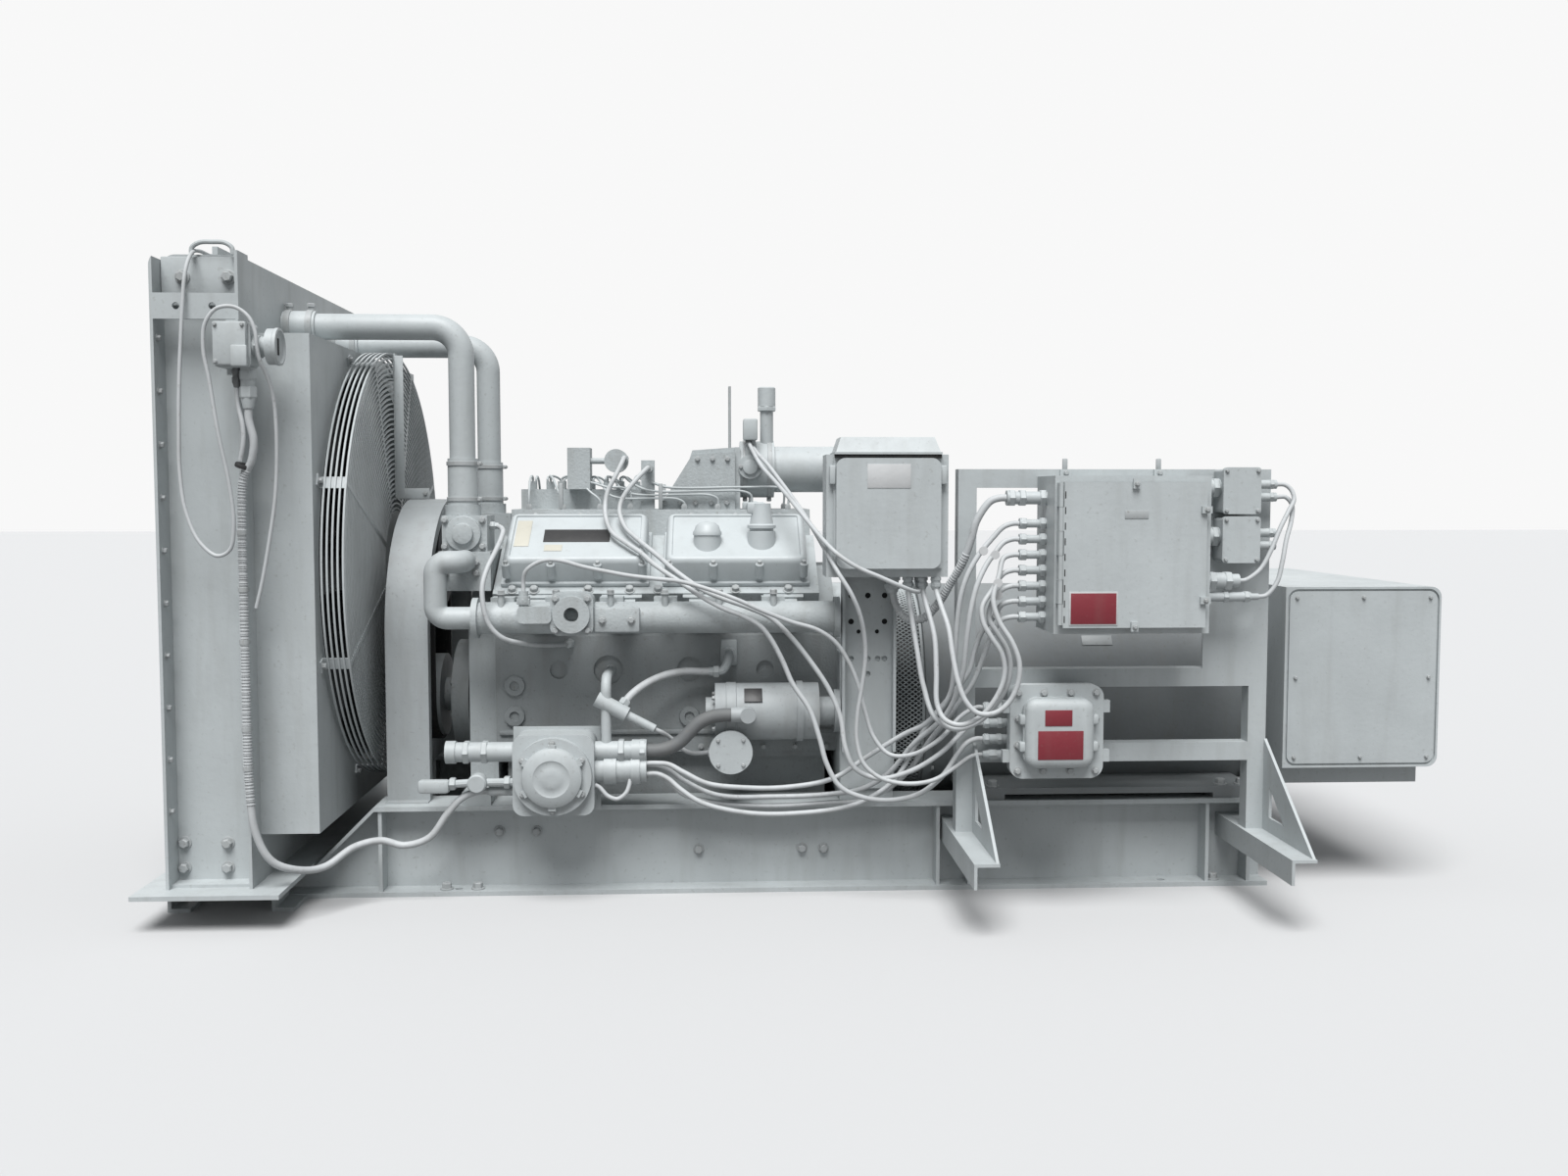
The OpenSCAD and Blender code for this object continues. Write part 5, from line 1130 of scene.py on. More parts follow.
@dataclass
class Radiator:
    """Fasteners, hose clamps and the switch of the radiator."""

    flange_at: Point = (-1.688, -0.695, 0.3)
    flange_pitch: float = 0.135
    flange_count: int = 10
    web_y: float = -0.645
    foot_bolts: Steps = ((-1.672, 0.206), (-1.561, 0.204), (-1.674, 0.14), (-1.562, 0.139))
    cap_x: Pair = (-1.687, -1.485)
    cap_z: Pair = (1.6, 1.724)
    cap_off: Pair = (0.019, 0.011)
    cap_bolts: Steps = ((-1.632, 1.672), (-1.517, 1.672))
    pipes: Steps = ((-0.33, 1.587), (0.15, 1.583))
    hose_x: Pair = (-1.462, -1.402)
    hose_r: float = 0.0432
    hose_band: float = 0.018
    tee_rise: float = 0.042
    tee: Steps = ((0.009, 0), (0.009, 0.011), (0.012, 0.012), (0.012, 0.02), (0.009, 0.022))
    drop_x: float = -0.99
    drop_z: Pair = (1.106, 1.206)
    drop_r: float = 0.0422
    loop_y: float = -0.676
    loop_r: float = 0.006
    loop: Steps = ((-1.604, 1.727), (-1.602, 1.745), (-1.584, 1.757), (-1.552, 1.759),
                   (-1.52, 1.757), (-1.503, 1.745), (-1.501, 1.727))
    clip_at: Pair = (-1.4745, -0.74)
    clip_z: Row = (1.023, 0.878, 0.745, 0.521, 0.42)
    clip: Steps = ((0.0108, 0), (0.0125, 0.001), (0.0125, 0.013), (0.0108, 0.014))
    tie_at: Point = (-1.4655, -0.7485, 1.196)
    tie_way: Point = (-0.3, 0.15, -0.9)
    switch: Point = (-1.472, -0.79, 1.49)
    dial_at: Point = (-1.372, -0.76, 1.487)
    dial: Steps = ((0.045, 0), (0.047, 0.002), (0.047, 0.01), (0.041, 0.011), (0.037, 0.006),
                   (0.02, 0.004))
    neck_at: Point = (-1.42, -0.76, 1.487)
    gland_large: Point = (-1.444, -0.76, 1.436)
    gland_small: Point = (-1.472, -0.758, 1.436)

    def build(self, shop: Workshop) -> None:
        """Model the pieces.

        Args:
            shop: The workshop.
        """
        for side, name, out in SIDES:
            self.dress_column(shop, side, name, out)
        ends = [(x, y, z) for y, z in self.pipes for x in self.hose_x]
        shop.clamps("coolant_clamps", ends, Axis.PLUS_X, self.hose_r, self.hose_band)
        shop.spun("coolant_tee_bolts", [(x, y, z + self.tee_rise) for x, y, z in ends], Axis.PLUS_Z,
                  self.tee, STEEL, 6)
        drops = [(self.drop_x, y, z) for y, _ in self.pipes for z in self.drop_z]
        shop.clamps("thermostat_clamps", drops, Axis.PLUS_Z, self.drop_r)
        shop.tube("lifting_loop", [[(x, self.loop_y, z) for x, z in self.loop]], self.loop_r)
        self.dress_switch(shop)
        shop.spun("conduit_clips", [(*self.clip_at, z - 0.007) for z in self.clip_z], Axis.PLUS_Z,
                  self.clip, STEEL, 24)
        foot = shop.block("foot", (-0.01, 0.008, -0.006), (0.01, 0.02, 0.006), 0.001)
        shop.row("conduit_clip_feet", foot, [(*self.clip_at, z) for z in self.clip_z], STEEL)
        shop.ring("conduit_tie", [self.tie_at], Vector(self.tie_way), 0.018, 0.01, 0.001, BLACK, 24)

    def dress_column(self, shop: Workshop, side: int, name: str, out: Axis) -> None:
        """Model one column's bolts and cap.

        Args:
            shop: The workshop.
            side: 1 for the left column, -1 for the right one.
            name: The column's name.
            out: The way out of its web.
        """
        x, y, low = self.flange_at
        shop.bolts("column_flange_bolts_" + name,
                   [(x, y * side, low + self.flange_pitch * i) for i in range(self.flange_count)],
                   Axis.PLUS_X, 0.014)
        web = self.web_y * side
        shop.bolts("column_foot_bolts_" + name, [(x, web, z) for x, z in self.foot_bolts], out,
                   0.024)
        face, back = (web - off * side for off in self.cap_off)
        shop.plate("column_cap_" + name, (self.cap_x[0], min(face, back), self.cap_z[0]),
                   (self.cap_x[1], max(face, back), self.cap_z[1]), edge=0.003)
        shop.bolts("column_cap_bolts_" + name, [(x, face, z) for x, z in self.cap_bolts], out,
                   0.026)

    def dress_switch(self, shop: Workshop) -> None:
        """Model the switch's cover, screws, block, dial and glands.

        Args:
            shop: The workshop.
        """
        x, y, z = self.switch
        shop.plate("switch_cover", (x - 0.042, y - 0.018, z - 0.052),
                   (x + 0.04, y + 0.002, z + 0.055), edge=0.005)
        shop.bolts("switch_screws", grid((x, y - 0.018, z), (-0.034, 0.032), (-0.044, 0.047)),
                   Axis.MINUS_Y, 0.008)
        shop.plate("switch_block", (x + 0.006, y - 0.032, z - 0.056),
                   (x + 0.046, y - 0.016, z - 0.004), edge=0.004)
        shop.spun("switch_dial_rim", [self.dial_at], Axis.PLUS_X, self.dial)
        # The dial's slot is a near-black strip of painted shade.
        shop.plate("switch_dial_slot", (-1.369, -0.7636, 1.466), (-1.3655, -0.7564, 1.508), GAP_SHADE,
                   0.001)
        shop.ring("switch_neck_ring", [self.neck_at], Axis.PLUS_X, 0.031, 0.012)
        shop.glands("switch_gland_large", [self.gland_large], Axis.MINUS_Z, 0.022, 0.1)
        shop.glands("switch_gland_small", [self.gland_small], Axis.MINUS_Z, 0.012, 0.05, CONDUIT)


@dataclass
class FanDrive:
    """Bolts of the fan guard, the damper and the belt guard, and the belt guard's angle."""

    guard: Point = (-1.32, 0, 0.91)
    guard_r: float = 0.642
    damper: Point = (-1.06, 0, CRANK_Z)
    damper_r: float = 0.13
    count: int = 8
    first: float = 22.5
    strap_bolts: Path = ((-1.243, 0, 1.2), (-1.243, 0, 1.48))

    def build(self, shop: Workshop) -> None:
        """Model the pieces.

        Args:
            shop: The workshop.
        """
        shop.bolts("guard_foot_bolts", circle(self.guard, self.guard_r, self.count, self.first),
                   Axis.PLUS_X, 0.014)
        shop.bolts("damper_bolts", circle(self.damper, self.damper_r, self.count, self.first),
                   Axis.MINUS_X, 0.018, body=Body.CRANK)
        shop.plate("guard_angle", (-1.2445, -0.019, 1.106), (-1.2195, -0.015, 1.538), edge=0.001)
        shop.plate("guard_angle_tab", (-1.2215, -0.019, 1.106), (-1.146, -0.015, 1.138), edge=0.001)
        shop.bolts("guard_angle_bolt", [(-1.158, -0.019, 1.122)], Axis.MINUS_Y, 0.01)
        shop.bolts("guard_strap_bolts", self.strap_bolts, Axis.PLUS_X, 0.014)


@dataclass
class EngineTop:
    """Rocker covers, fasteners, fuel lines and fittings on top of the engine."""

    lean: float = math.radians(32.5)
    covers: Row = (-0.6725, -0.2185)
    cover_up: float = 0.5
    cover_len: float = 0.417
    cover_half: float = 0.13
    cover_steps: Steps = (
        (0, 0.066), (0.004, 0.009), (0.005, 0.005), (0.003, 0.001), (0.006, 0), (0.002, -0.005))
    flange_t: float = 0.014
    shell_in: float = 0.009
    shell_up: float = 0.008
    shell_corner: float = 0.024
    boss_up: float = 0.575
    boss: Steps = ((0.012, 0), (0.012, 0.043), (0.01, 0.045))
    boss_places: Steps = (
        (-0.19, -0.118), (-0.065, -0.121), (0.065, -0.121), (0.19, -0.118),
        (-0.13, 0.121), (0, 0.121), (0.13, 0.121))
    neck_up: float = 0.586
    filler_at: Pair = (-0.082, -0.03)
    filler: Steps = (
        (0.038, -0.06), (0.038, 0.018), (0.041, 0.02), (0.041, 0.028), (0.037, 0.034),
        (0.033, 0.046), (0.022, 0.055), (0.006, 0.058))
    breather_at: Pair = (0.073, -0.02)
    breather: Steps = (
        (0.04, -0.06), (0.04, 0.024), (0.034, 0.026), (0.034, 0.032), (0.041, 0.034),
        (0.041, 0.042), (0.034, 0.046), (0.029, 0.072), (0.026, 0.104))
    elbow: tuple[Point, Point] = ((-0.042, -0.016, -0.03), (0.012, 0.016, 0.004))
    plate_up: float = 0.084
    plate_t: float = 0.0016
    head_bolts: Row = (-0.847, -0.786, -0.635, -0.519, -0.439, -0.33, -0.221, -0.072)
    head_seat: Pair = (-0.147, 0.5)
    pump: Point = (-0.83, 0.04, 1.157)
    pump_pitch: float = 0.044
    shelf: float = 1.108
    shelf_step: float = 0.011
    short_run: float = 0.15
    line_r: float = 0.0035
    injectors: Row = (-0.83, -0.73, -0.62, -0.53, -0.37, -0.27, -0.17, -0.06)
    injector_y: float = 0.138
    injector_nut: Steps = ((0.009, 0), (0.0095, 0.002), (0.0095, 0.012), (0.006, 0.018))
    clip_x: Pair = (-0.735, -0.44)
    clip_y: float = 0.143

    def seat(self, x: float, across: float, up: float, side: int = 1) -> Point:
        """Give the place of a point in a bank, for the left (1) or the right (-1) bank."""
        c, s = math.cos(self.lean), math.sin(self.lean)
        return (x, side * (across * c - up * s), CRANK_Z + across * s + up * c)

    def bank(self, side: int, x: float = 0.0, up: float = 0.0) -> Matrix:
        """Give the matrix from a bank's own axes, moved along and up it, to the frame."""
        return (Matrix.Translation((0, 0, CRANK_Z)) @ Matrix.Rotation(side * self.lean, 4, "X")
                @ Matrix.Translation((x, 0, up)))

    def build(self, shop: Workshop) -> None:
        """Model the pieces.

        Args:
            shop: The workshop.
        """
        for side, name, out in SIDES:
            up = Vector((0, -side * math.sin(self.lean), math.cos(self.lean)))
            shop.bolts("cover_bolts_" + name,
                       [self.seat(x + d, e, self.boss_up, side) for x in self.covers
                        for d, e in self.boss_places], up, 0.012)
            shop.bolts("head_bolts_" + name,
                       [self.seat(x, *self.head_seat, side) for x in self.head_bolts], up, 0.021)
            self.fuel_lines(shop, side, name)
            shop.bolts("manifold_nuts_" + name,
                       [(-0.863 + 0.149 * i, -0.494 * side, 0.846) for i in range(6)],
                       Axis.PLUS_Z, 0.018)
            cooler = -0.12 * side
            shop.bolts("cooler_bolts_" + name,
                       [(-0.43 + 0.047 * i, cooler, 1.094) for i in range(5)]
                       + [(-0.33 + 0.045 * i, cooler, 1.225) for i in range(3)], out, 0.012)
        self.intake(shop)
        self.make_covers(shop)
        self.plates(shop)

    def cover(self, shop: Workshop) -> bpy.types.Object:
        """Model one rocker cover on its flange, with a raised rim and bolt bosses.

        Args:
            shop: The workshop.

        Returns:
            The cover, not yet finished.
        """
        half, wide = self.cover_len / 2, self.cover_half
        flange = shop.block("flange", (-half, -wide, 0), (half, wide, self.flange_t), 0.004)
        shell = shop.rounded("shell", 2 * (half - self.shell_in), 2 * (wide - self.shell_in),
                             self.shell_corner, self.cover_steps)
        shell.data.transform(Matrix.Translation((0, 0, self.shell_up)))
        boss = shop.turned("boss", (0, 0, 0.03), Axis.PLUS_Z, self.boss, 20)
        bosses = shop.copies("bosses", boss,
                             [Matrix.Translation((d, e, 0)) for d, e in self.boss_places])
        return shop.join("cover", [shell, flange, bosses])

    def make_covers(self, shop: Workshop) -> None:
        """Model the four covers, with the filler and the breather standing upright on two.

        Args:
            shop: The workshop.
        """
        parts = []
        for side, _, _ in SIDES:
            for i, x in enumerate(self.covers):
                part = self.cover(shop)
                part.data.transform(self.bank(side, x, self.cover_up))
                parts.append(part)
                if i == 0:
                    continue
                for name, (along, across), steps in (("filler", self.filler_at, self.filler),
                                                     ("breather", self.breather_at, self.breather)):
                    at = self.seat(x + along, across, self.neck_up, side)
                    parts.append(shop.turned(name, at, Axis.PLUS_Z, steps))
                top = Vector(at) + Vector((0, 0, self.breather[-1][1]))
                low, high = (tuple(top + Vector(corner)) for corner in self.elbow)
                parts.append(shop.block("elbow", low, high, 0.008))
        covers = shop.finish(shop.join("covers_modelled", parts), PALE)
        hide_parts("rocker_covers")

    def plates(self, shop: Workshop) -> None:
        """Model the bare plates on the near front cover.

        Args:
            shop: The workshop.
        """
        place = self.bank(1, self.covers[0], self.cover_up + self.plate_up)
        for name, finish, mid, across, (wide, high) in (
                ("cover_plate", BLACK, 0.0, 0.004, (0.188, 0.062)),
                ("cover_tag", CREAM, -0.063, -0.057, (0.05, 0.03)),
                ("cover_sheet", CREAM, -0.154, 0.016, (0.042, 0.13))):
            plate = shop.block(name, (mid - wide / 2, across - high / 2, 0),
                               (mid + wide / 2, across + high / 2, self.plate_t), 0.0005)
            plate.data.transform(place)
            shop.finish(plate, finish)

    def bend(self, run: float, shelf: float) -> list[Point]:
        """Give the bends of a fuel line.

        Args:
            run: How far along the engine the line goes.
            shelf: Height at which it runs along the head.

        Returns:
            Share of the run, distance from the engine's middle and height of each bend.
        """
        top = self.pump[2]
        if run < self.short_run:
            return [(0.2, 0.06, top + 0.018), (0.45, 0.105, top + 0.006), (0.75, 0.132, 1.128),
                    (1, 0.141, 1.1)]
        turn = 1 - 0.022 / run
        return [(0.012 / run, 0.065, top + 0.016), (0.032 / run, 0.105, top + 0.002),
                (0.06 / run, 0.132, shelf + 0.012), (0.1 / run, 0.142, shelf),
                (0.75 * turn, 0.142, shelf), (turn, 0.142, shelf - 0.002), (1, 0.14, shelf - 0.014)]

    def fuel_lines(self, shop: Workshop, side: int, name: str) -> None:
        """Bend a line from each pump outlet to its injector.

        Args:
            shop: The workshop.
            side: 1 for the left bank, -1 for the right one.
            name: The bank's name.
        """
        first, off, top = self.pump
        foot = -self.injector_y * side
        routes = []
        for k, x in enumerate(self.injectors):
            start = first + self.pump_pitch * k
            y = (-off if k % 2 == 0 else off) * side
            run = x - start
            bends = self.bend(run, self.shelf + self.shelf_step * (k % 4))
            routes.append([(start, y, top), (start, y, top + 0.01),
                           *((start + share * run, -across * side, z)
                             for share, across, z in bends),
                           (x, foot, 1.074)])
        clip = shop.block("clip", (-0.006, -0.005, 1.076), (0.006, 0.005, 1.152), 0.002)
        shop.row("fuel_line_clips_" + name, clip,
                 [(x, -self.clip_y * side, 0) for x in self.clip_x], STEEL)
        shop.tube("fuel_lines_" + name, routes, self.line_r)
        shop.spun("injector_nuts_" + name, [(x, foot, 1.073) for x in self.injectors], Axis.PLUS_Z,
                  self.injector_nut, STEEL, 6)

    @staticmethod
    def intake(shop: Workshop) -> None:
        """Model the clamps, the studs, the sender and the actuator of the air intake.

        Args:
            shop: The workshop.
        """
        shop.clamps("intake_clamps", [(-0.186, -0.02, 1.196), (-0.112, -0.02, 1.196)], Axis.PLUS_X,
                    0.0862, 0.014)
        shop.tube("cooler_studs", [[(-0.233, y, z) for z in (1.245, 1.31, 1.38, 1.445)]
                                   for y in (-0.075, -0.03)], 0.004, STEEL)
        shop.ring("sender_hexagon", [(-0.12, -0.04, 1.372)], Axis.PLUS_Z, 0.031)
        shop.spun("sender_cap", [(-0.12, -0.04, 1.442)], Axis.PLUS_Z,
                  [(0.027, 0), (0.024, 0.003), (0.012, 0.004)])
        shop.plate("actuator_foot", (-0.186, -0.105, 1.236), (-0.156, -0.065, 1.286))
        shop.plate("actuator", (-0.193, -0.128, 1.282), (-0.15, -0.062, 1.346), edge=0.005)
        shop.spun("actuator_plugs", [(-0.1775, -0.1035, 1.284), (-0.1715, -0.0835, 1.284)],
                  Vector((0.2, -0.65, -0.6)), [(0.0095, 0), (0.0095, 0.008), (0.008, 0.011)],
                  CONDUIT, 20)
        shop.spun("actuator_flange", [(-0.172, -0.1, 1.202)], Axis.MINUS_Y,
                  [(0.034, 0), (0.036, 0.002), (0.036, 0.012), (0.022, 0.012), (0.022, 0.02),
                   (0.015, 0.022)])
        shop.bolts("actuator_flange_bolts", [(-0.2, -0.112, 1.202), (-0.144, -0.112, 1.202)],
                   Axis.MINUS_Y, 0.01)


@dataclass
class EngineSide:
    """Fasteners and fittings on the engine's sides, the starter and the boxes beside it."""

    wall: float = -0.335
    pan_z: float = 0.394
    pads: Steps = ((-0.851, 0.574), (-0.852, 0.487), (-0.353, 0.483))
    pad: Steps = ((0.03, 0), (0.028, 0.01), (0.014, 0.011), (0.012, 0.004))
    ridge_t: float = 0.009
    outlet: Point = (-0.667, -0.544, 0.795)
    outlet_half: float = 0.043
    starter: Point = (-0.28, -0.427, 0.51)
    starter_bolts_r: float = 0.062
    starter_r: float = 0.0815
    starter_turn: float = 0.72
    box: Point = (-0.237, -0.525, 0.41)
    box_screws_r: float = 0.049
    lid: Point = (-0.718, -0.592, 0.359)
    lid_bolts_r: float = 0.092
    lid_rise: float = 0.014
    lid_dome: Steps = (
        (0.081, 0), (0.079, 0.004), (0.068, 0.01), (0.05, 0.0135), (0.046, 0.0115), (0.03, 0.0115),
        (0.027, 0.013), (0.01, 0.013))
    thermostat_boss: Steps = (
        (0.05, 0), (0.048, 0.012), (0.03, 0.014), (0.028, 0.026), (0.02, 0.028))
    neck_nut: Steps = ((0.019, 0), (0.02, 0.002), (0.02, 0.014), (0.018, 0.016))
    conduit_cap: Steps = ((0.024, 0), (0.026, 0.003), (0.026, 0.034), (0.022, 0.038))
    low_conduit: Path = (
        (-0.82, -0.54, 0.337), (-0.87, -0.54, 0.337), (-0.94, -0.54, 0.336), (-1.01, -0.54, 0.332))
    hose_elbow: Path = (
        (-0.24, -0.345, 0.668), (-0.24, -0.372, 0.668), (-0.241, -0.394, 0.662),
        (-0.246, -0.4, 0.642), (-0.258, -0.4, 0.624), (-0.276, -0.4, 0.62), (-0.297, -0.4, 0.62))
    hose_nuts: tuple[tuple[str, Point, Point, Steps], ...] = (
        ("elbow_hexagons", (-0.268, -0.4, 0.62), (-1, 0, 0),
         ((0.0165, 0), (0.018, 0.002), (0.018, 0.014), (0.015, 0.018))),
        ("elbow_nut", (-0.24, -0.352, 0.668), (0, -1, 0),
         ((0.018, 0), (0.019, 0.002), (0.019, 0.012), (0.016, 0.014))),
        ("breather_nut_low", (-0.694, -0.333, 0.695), (0, -1, 0),
         ((0.015, 0), (0.015, 0.014), (0.011, 0.02), (0.0105, 0.032))),
        ("breather_nut_high", (-0.916, -0.335, 1.03), (1, 0, 0),
         ((0.014, 0), (0.014, 0.012), (0.0105, 0.016), (0.01, 0.026))),
        ("side_hose_nut", (-0.533, -0.509, 0.542), (0.55, 0.38, 0.75),
         ((0.015, 0), (0.016, 0.002), (0.016, 0.014), (0.013, 0.018))))

    def build(self, shop: Workshop) -> None:
        """Model the pieces.

        Args:
            shop: The workshop.
        """
        for side, name, out in SIDES:
            wall = self.wall * side
            shop.bolts("pan_bolts_" + name,
                       [(-0.86 + 0.09 * i, wall, self.pan_z) for i in range(11)], out, 0.013)
            # The pads and the ridge take the block's darker grey, which is painted shade with some
            # dust.
            shop.spun("block_pads_" + name, [(x, wall, z) for x, z in self.pads], out, self.pad,
                      BLOCK_SHADE_AND_DUST)
            low, high = sorted((wall, (self.wall - self.ridge_t) * side))
            shop.plate("block_ridge_" + name, (-0.895, low, 0.432), (0.06, high, 0.446), BLOCK_SHADE_AND_DUST,
                       0.004)
        half = self.outlet_half
        shop.bolts("outlet_bolts", grid(self.outlet, (-half, half), (-half, half)),
                   Axis.MINUS_Y, 0.015)
        shop.plate("manifold_pad", (-0.609, -0.53, 0.744), (-0.484, -0.508, 0.812), CAST, 0.006)
        shop.bolts("manifold_pad_bolts", [(-0.586, -0.53, 0.778), (-0.507, -0.53, 0.778)],
                   Axis.MINUS_Y, 0.016)
        shop.spun("neck_nut", [(-0.797, -0.532, 0.822)], Axis.PLUS_Z, self.neck_nut, sides=6)
        self.fittings(shop)
        self.dress_starter(shop)
        shop.bolts("gear_edge_bolts", grid((0, -0.4, 0), (-0.945, -1.03), (0.9, 0.93)),
                   Axis.MINUS_Y, 0.016)
        shop.spun("thermostat_boss", [(-0.98, -0.39, 1.01)], Axis.MINUS_Y, self.thermostat_boss,
                  CAST)
        shop.bolts("thermostat_bolts", grid((0, -0.39, 0), (-1.032, -0.928), (0.974, 1.048)),
                   Axis.MINUS_Y, 0.015)
        self.dress_round_box(shop)

    def dress_round_box(self, shop: Workshop) -> None:
        """Model the round box's lid and bolts and the conduit that leaves it.

        Args:
            shop: The workshop.
        """
        x, y, z = self.lid
        shop.spun("round_lid_dome", [(x, y - self.lid_rise, z)], Axis.MINUS_Y, self.lid_dome,
                  sides=64)
        shop.bolts("round_lid_bolts", circle(self.lid, self.lid_bolts_r, 6, about=Axis.PLUS_Y),
                   Axis.MINUS_Y, 0.013)
        shop.ring("union_hexagons", [(-0.545, -0.52, 0.417), (-0.487, -0.52, 0.417)], Axis.PLUS_X,
                  0.035, 0.016)
        shop.tube("low_conduit", [self.low_conduit], 0.011)
        shop.plate("low_conduit_body", (-1.085, -0.562, 0.31), (-1.0, -0.526, 0.346), edge=0.009)
        shop.ring("low_conduit_nuts", [(-0.838, -0.54, 0.337), (-0.985, -0.54, 0.334)],
                  Axis.MINUS_X, 0.018, 0.016, 0.0015)
        shop.spun("low_conduit_cap", [(-0.925, -0.53, 0.337)], Axis.MINUS_Y, self.conduit_cap,
                  sides=40)
        shop.ring("tee_hexagons", [(-0.9, -0.52, 0.417), (-0.95, -0.52, 0.417)], Axis.MINUS_X,
                  0.033, 0.016)

    def fittings(self, shop: Workshop) -> None:
        """Model the pad, the elbow and the nuts where the hoses end.

        Args:
            shop: The workshop.
        """
        shop.plate("elbow_pad", (-0.264, -0.352, 0.63), (-0.216, -0.33, 0.704), CAST, 0.005)
        shop.tube("hose_elbow", [self.hose_elbow], 0.0125)
        for name, at, way, steps in self.hose_nuts:
            shop.spun(name, [at], Vector(way), steps, sides=6)

    def dress_starter(self, shop: Workshop) -> None:
        """Model the starter's screws, band and dark plate and the fittings of its box.

        Args:
            shop: The workshop.
        """
        _, y, z = self.starter
        shop.bolts("starter_bolts", circle(self.starter, self.starter_bolts_r, 4, 45), Axis.MINUS_X,
                   0.012)
        # The starter band takes the darker grey of painted shade.
        shop.ring("starter_band", [(-0.25, y, z)], Axis.PLUS_X, 0.0825, 0.03, 0.0023, MIDDLE_SHADE, 48)
        shop.label("starter_plate", (-0.199, -0.149), (0.0015, 0.022), 0.001, (y, z),
                   self.starter_r, self.starter_turn, BLACK)
        shop.bolts("starter_box_screws", circle(self.box, self.box_screws_r, 4, 45, Axis.PLUS_Y),
                   Axis.MINUS_Y, 0.009)
        shop.spun("starter_box_inlet", [(-0.3, -0.47, 0.402)], Axis.PLUS_X,
                  [(0.011, 0), (0.013, 0.002), (0.013, 0.014), (0.013, 0.02)], sides=6)


@dataclass
class Generator:
    """The screened coupling ring and the generator's fasteners, plate and louvres."""

    screen_r: float = 0.324
    screen_x: Pair = (0.22, 0.33)
    screen_rows: int = 6
    screen_cells: int = 150
    wire_t: float = 0.0035
    band_t: float = 0.004
    band_w: float = 0.008
    drum: Steps = ((0.29, 0), (0.29, 0.03), (0.24, 0.04))
    flange: Point = (0.354, 0, CRANK_Z)
    flange_bolts_r: float = 0.342
    barrel_r: float = 0.336
    plate_rise: float = 0.184
    end_face: float = -0.5
    end_x: Row = (1.352, 1.543, 1.735)
    end_z: Row = (0.378, 0.604, 0.83)
    louvre_low: float = 0.44
    louvre_pitch: float = 0.055
    louvres: int = 7

    def build(self, shop: Workshop) -> None:
        """Model the pieces.

        Args:
            shop: The workshop.
        """
        self.screen(shop)
        shop.bolts("barrel_flange_bolts", circle(self.flange, self.flange_bolts_r, 16, 11.25),
                   Axis.PLUS_X, 0.012)
        shop.label("barrel_plate", (0.799, 0.889), (0.0012, 0.016), 0.0008, (0, CRANK_Z),
                   self.barrel_r + 0.001, math.asin(self.plate_rise / self.barrel_r), STEEL)
        middle = (self.end_x[1], self.end_z[1])
        for side, name, out in SIDES:
            screws = [(x, self.end_face * side, z) for x in self.end_x for z in self.end_z
                      if (x, z) != middle]
            shop.bolts("end_cover_screws_" + name, screws, out, 0.009)
        blade = shop.block("blade", (1.764, -0.33, -0.016), (1.773, 0.33, 0.016), 0.004)
        shop.row("end_louvres", blade, [(0, 0, self.louvre_low + self.louvre_pitch * k)
                                        for k in range(self.louvres)])

    def screen(self, shop: Workshop) -> None:
        """Model the ring of expanded metal between flywheel housing and generator.

        Args:
            shop: The workshop.
        """
        x0, x1 = self.screen_x
        bpy.ops.mesh.primitive_cylinder_add(
            vertices=self.screen_cells, radius=self.screen_r, depth=x1 - x0,
            end_fill_type="NOTHING", location=((x0 + x1) / 2, 0, CRANK_Z),
            rotation=(0, math.pi / 2, 0))
        ring = shop.start("screen_mesh")
        with shop.editing():
            for k in range(1, self.screen_rows):
                bpy.ops.mesh.select_all(action="SELECT")
                bpy.ops.mesh.bisect(plane_co=(x0 + (x1 - x0) * k / self.screen_rows, 0, 0),
                                    plane_no=(1, 0, 0))
            bpy.ops.mesh.select_all(action="SELECT")
            bpy.ops.mesh.poke()
            bpy.ops.mesh.select_all(action="SELECT")
            bpy.ops.mesh.tris_convert_to_quads(face_threshold=math.pi, shape_threshold=math.pi)
        wire = ring.modifiers.new("wire", "WIREFRAME")
        wire.thickness = self.wire_t
        wire.use_boundary = True
        bpy.ops.object.modifier_apply(modifier=wire.name)
        shop.finish(ring, GREY)
        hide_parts("coupling_screen")
        low, high = self.screen_r - self.band_t, self.screen_r + self.band_t
        shop.spun("screen_bands", [(x0, 0, CRANK_Z), (x1 - self.band_w, 0, CRANK_Z)], Axis.PLUS_X,
                  [(low, 0), (high, 0), (high, self.band_w), (low, self.band_w)], GREY, 96)
        shop.spun("coupling_drum", [(x0, 0, CRANK_Z)], Axis.PLUS_X,
                  [*self.drum, (self.drum[-1][0], x1 - x0)], BLACK, 64)


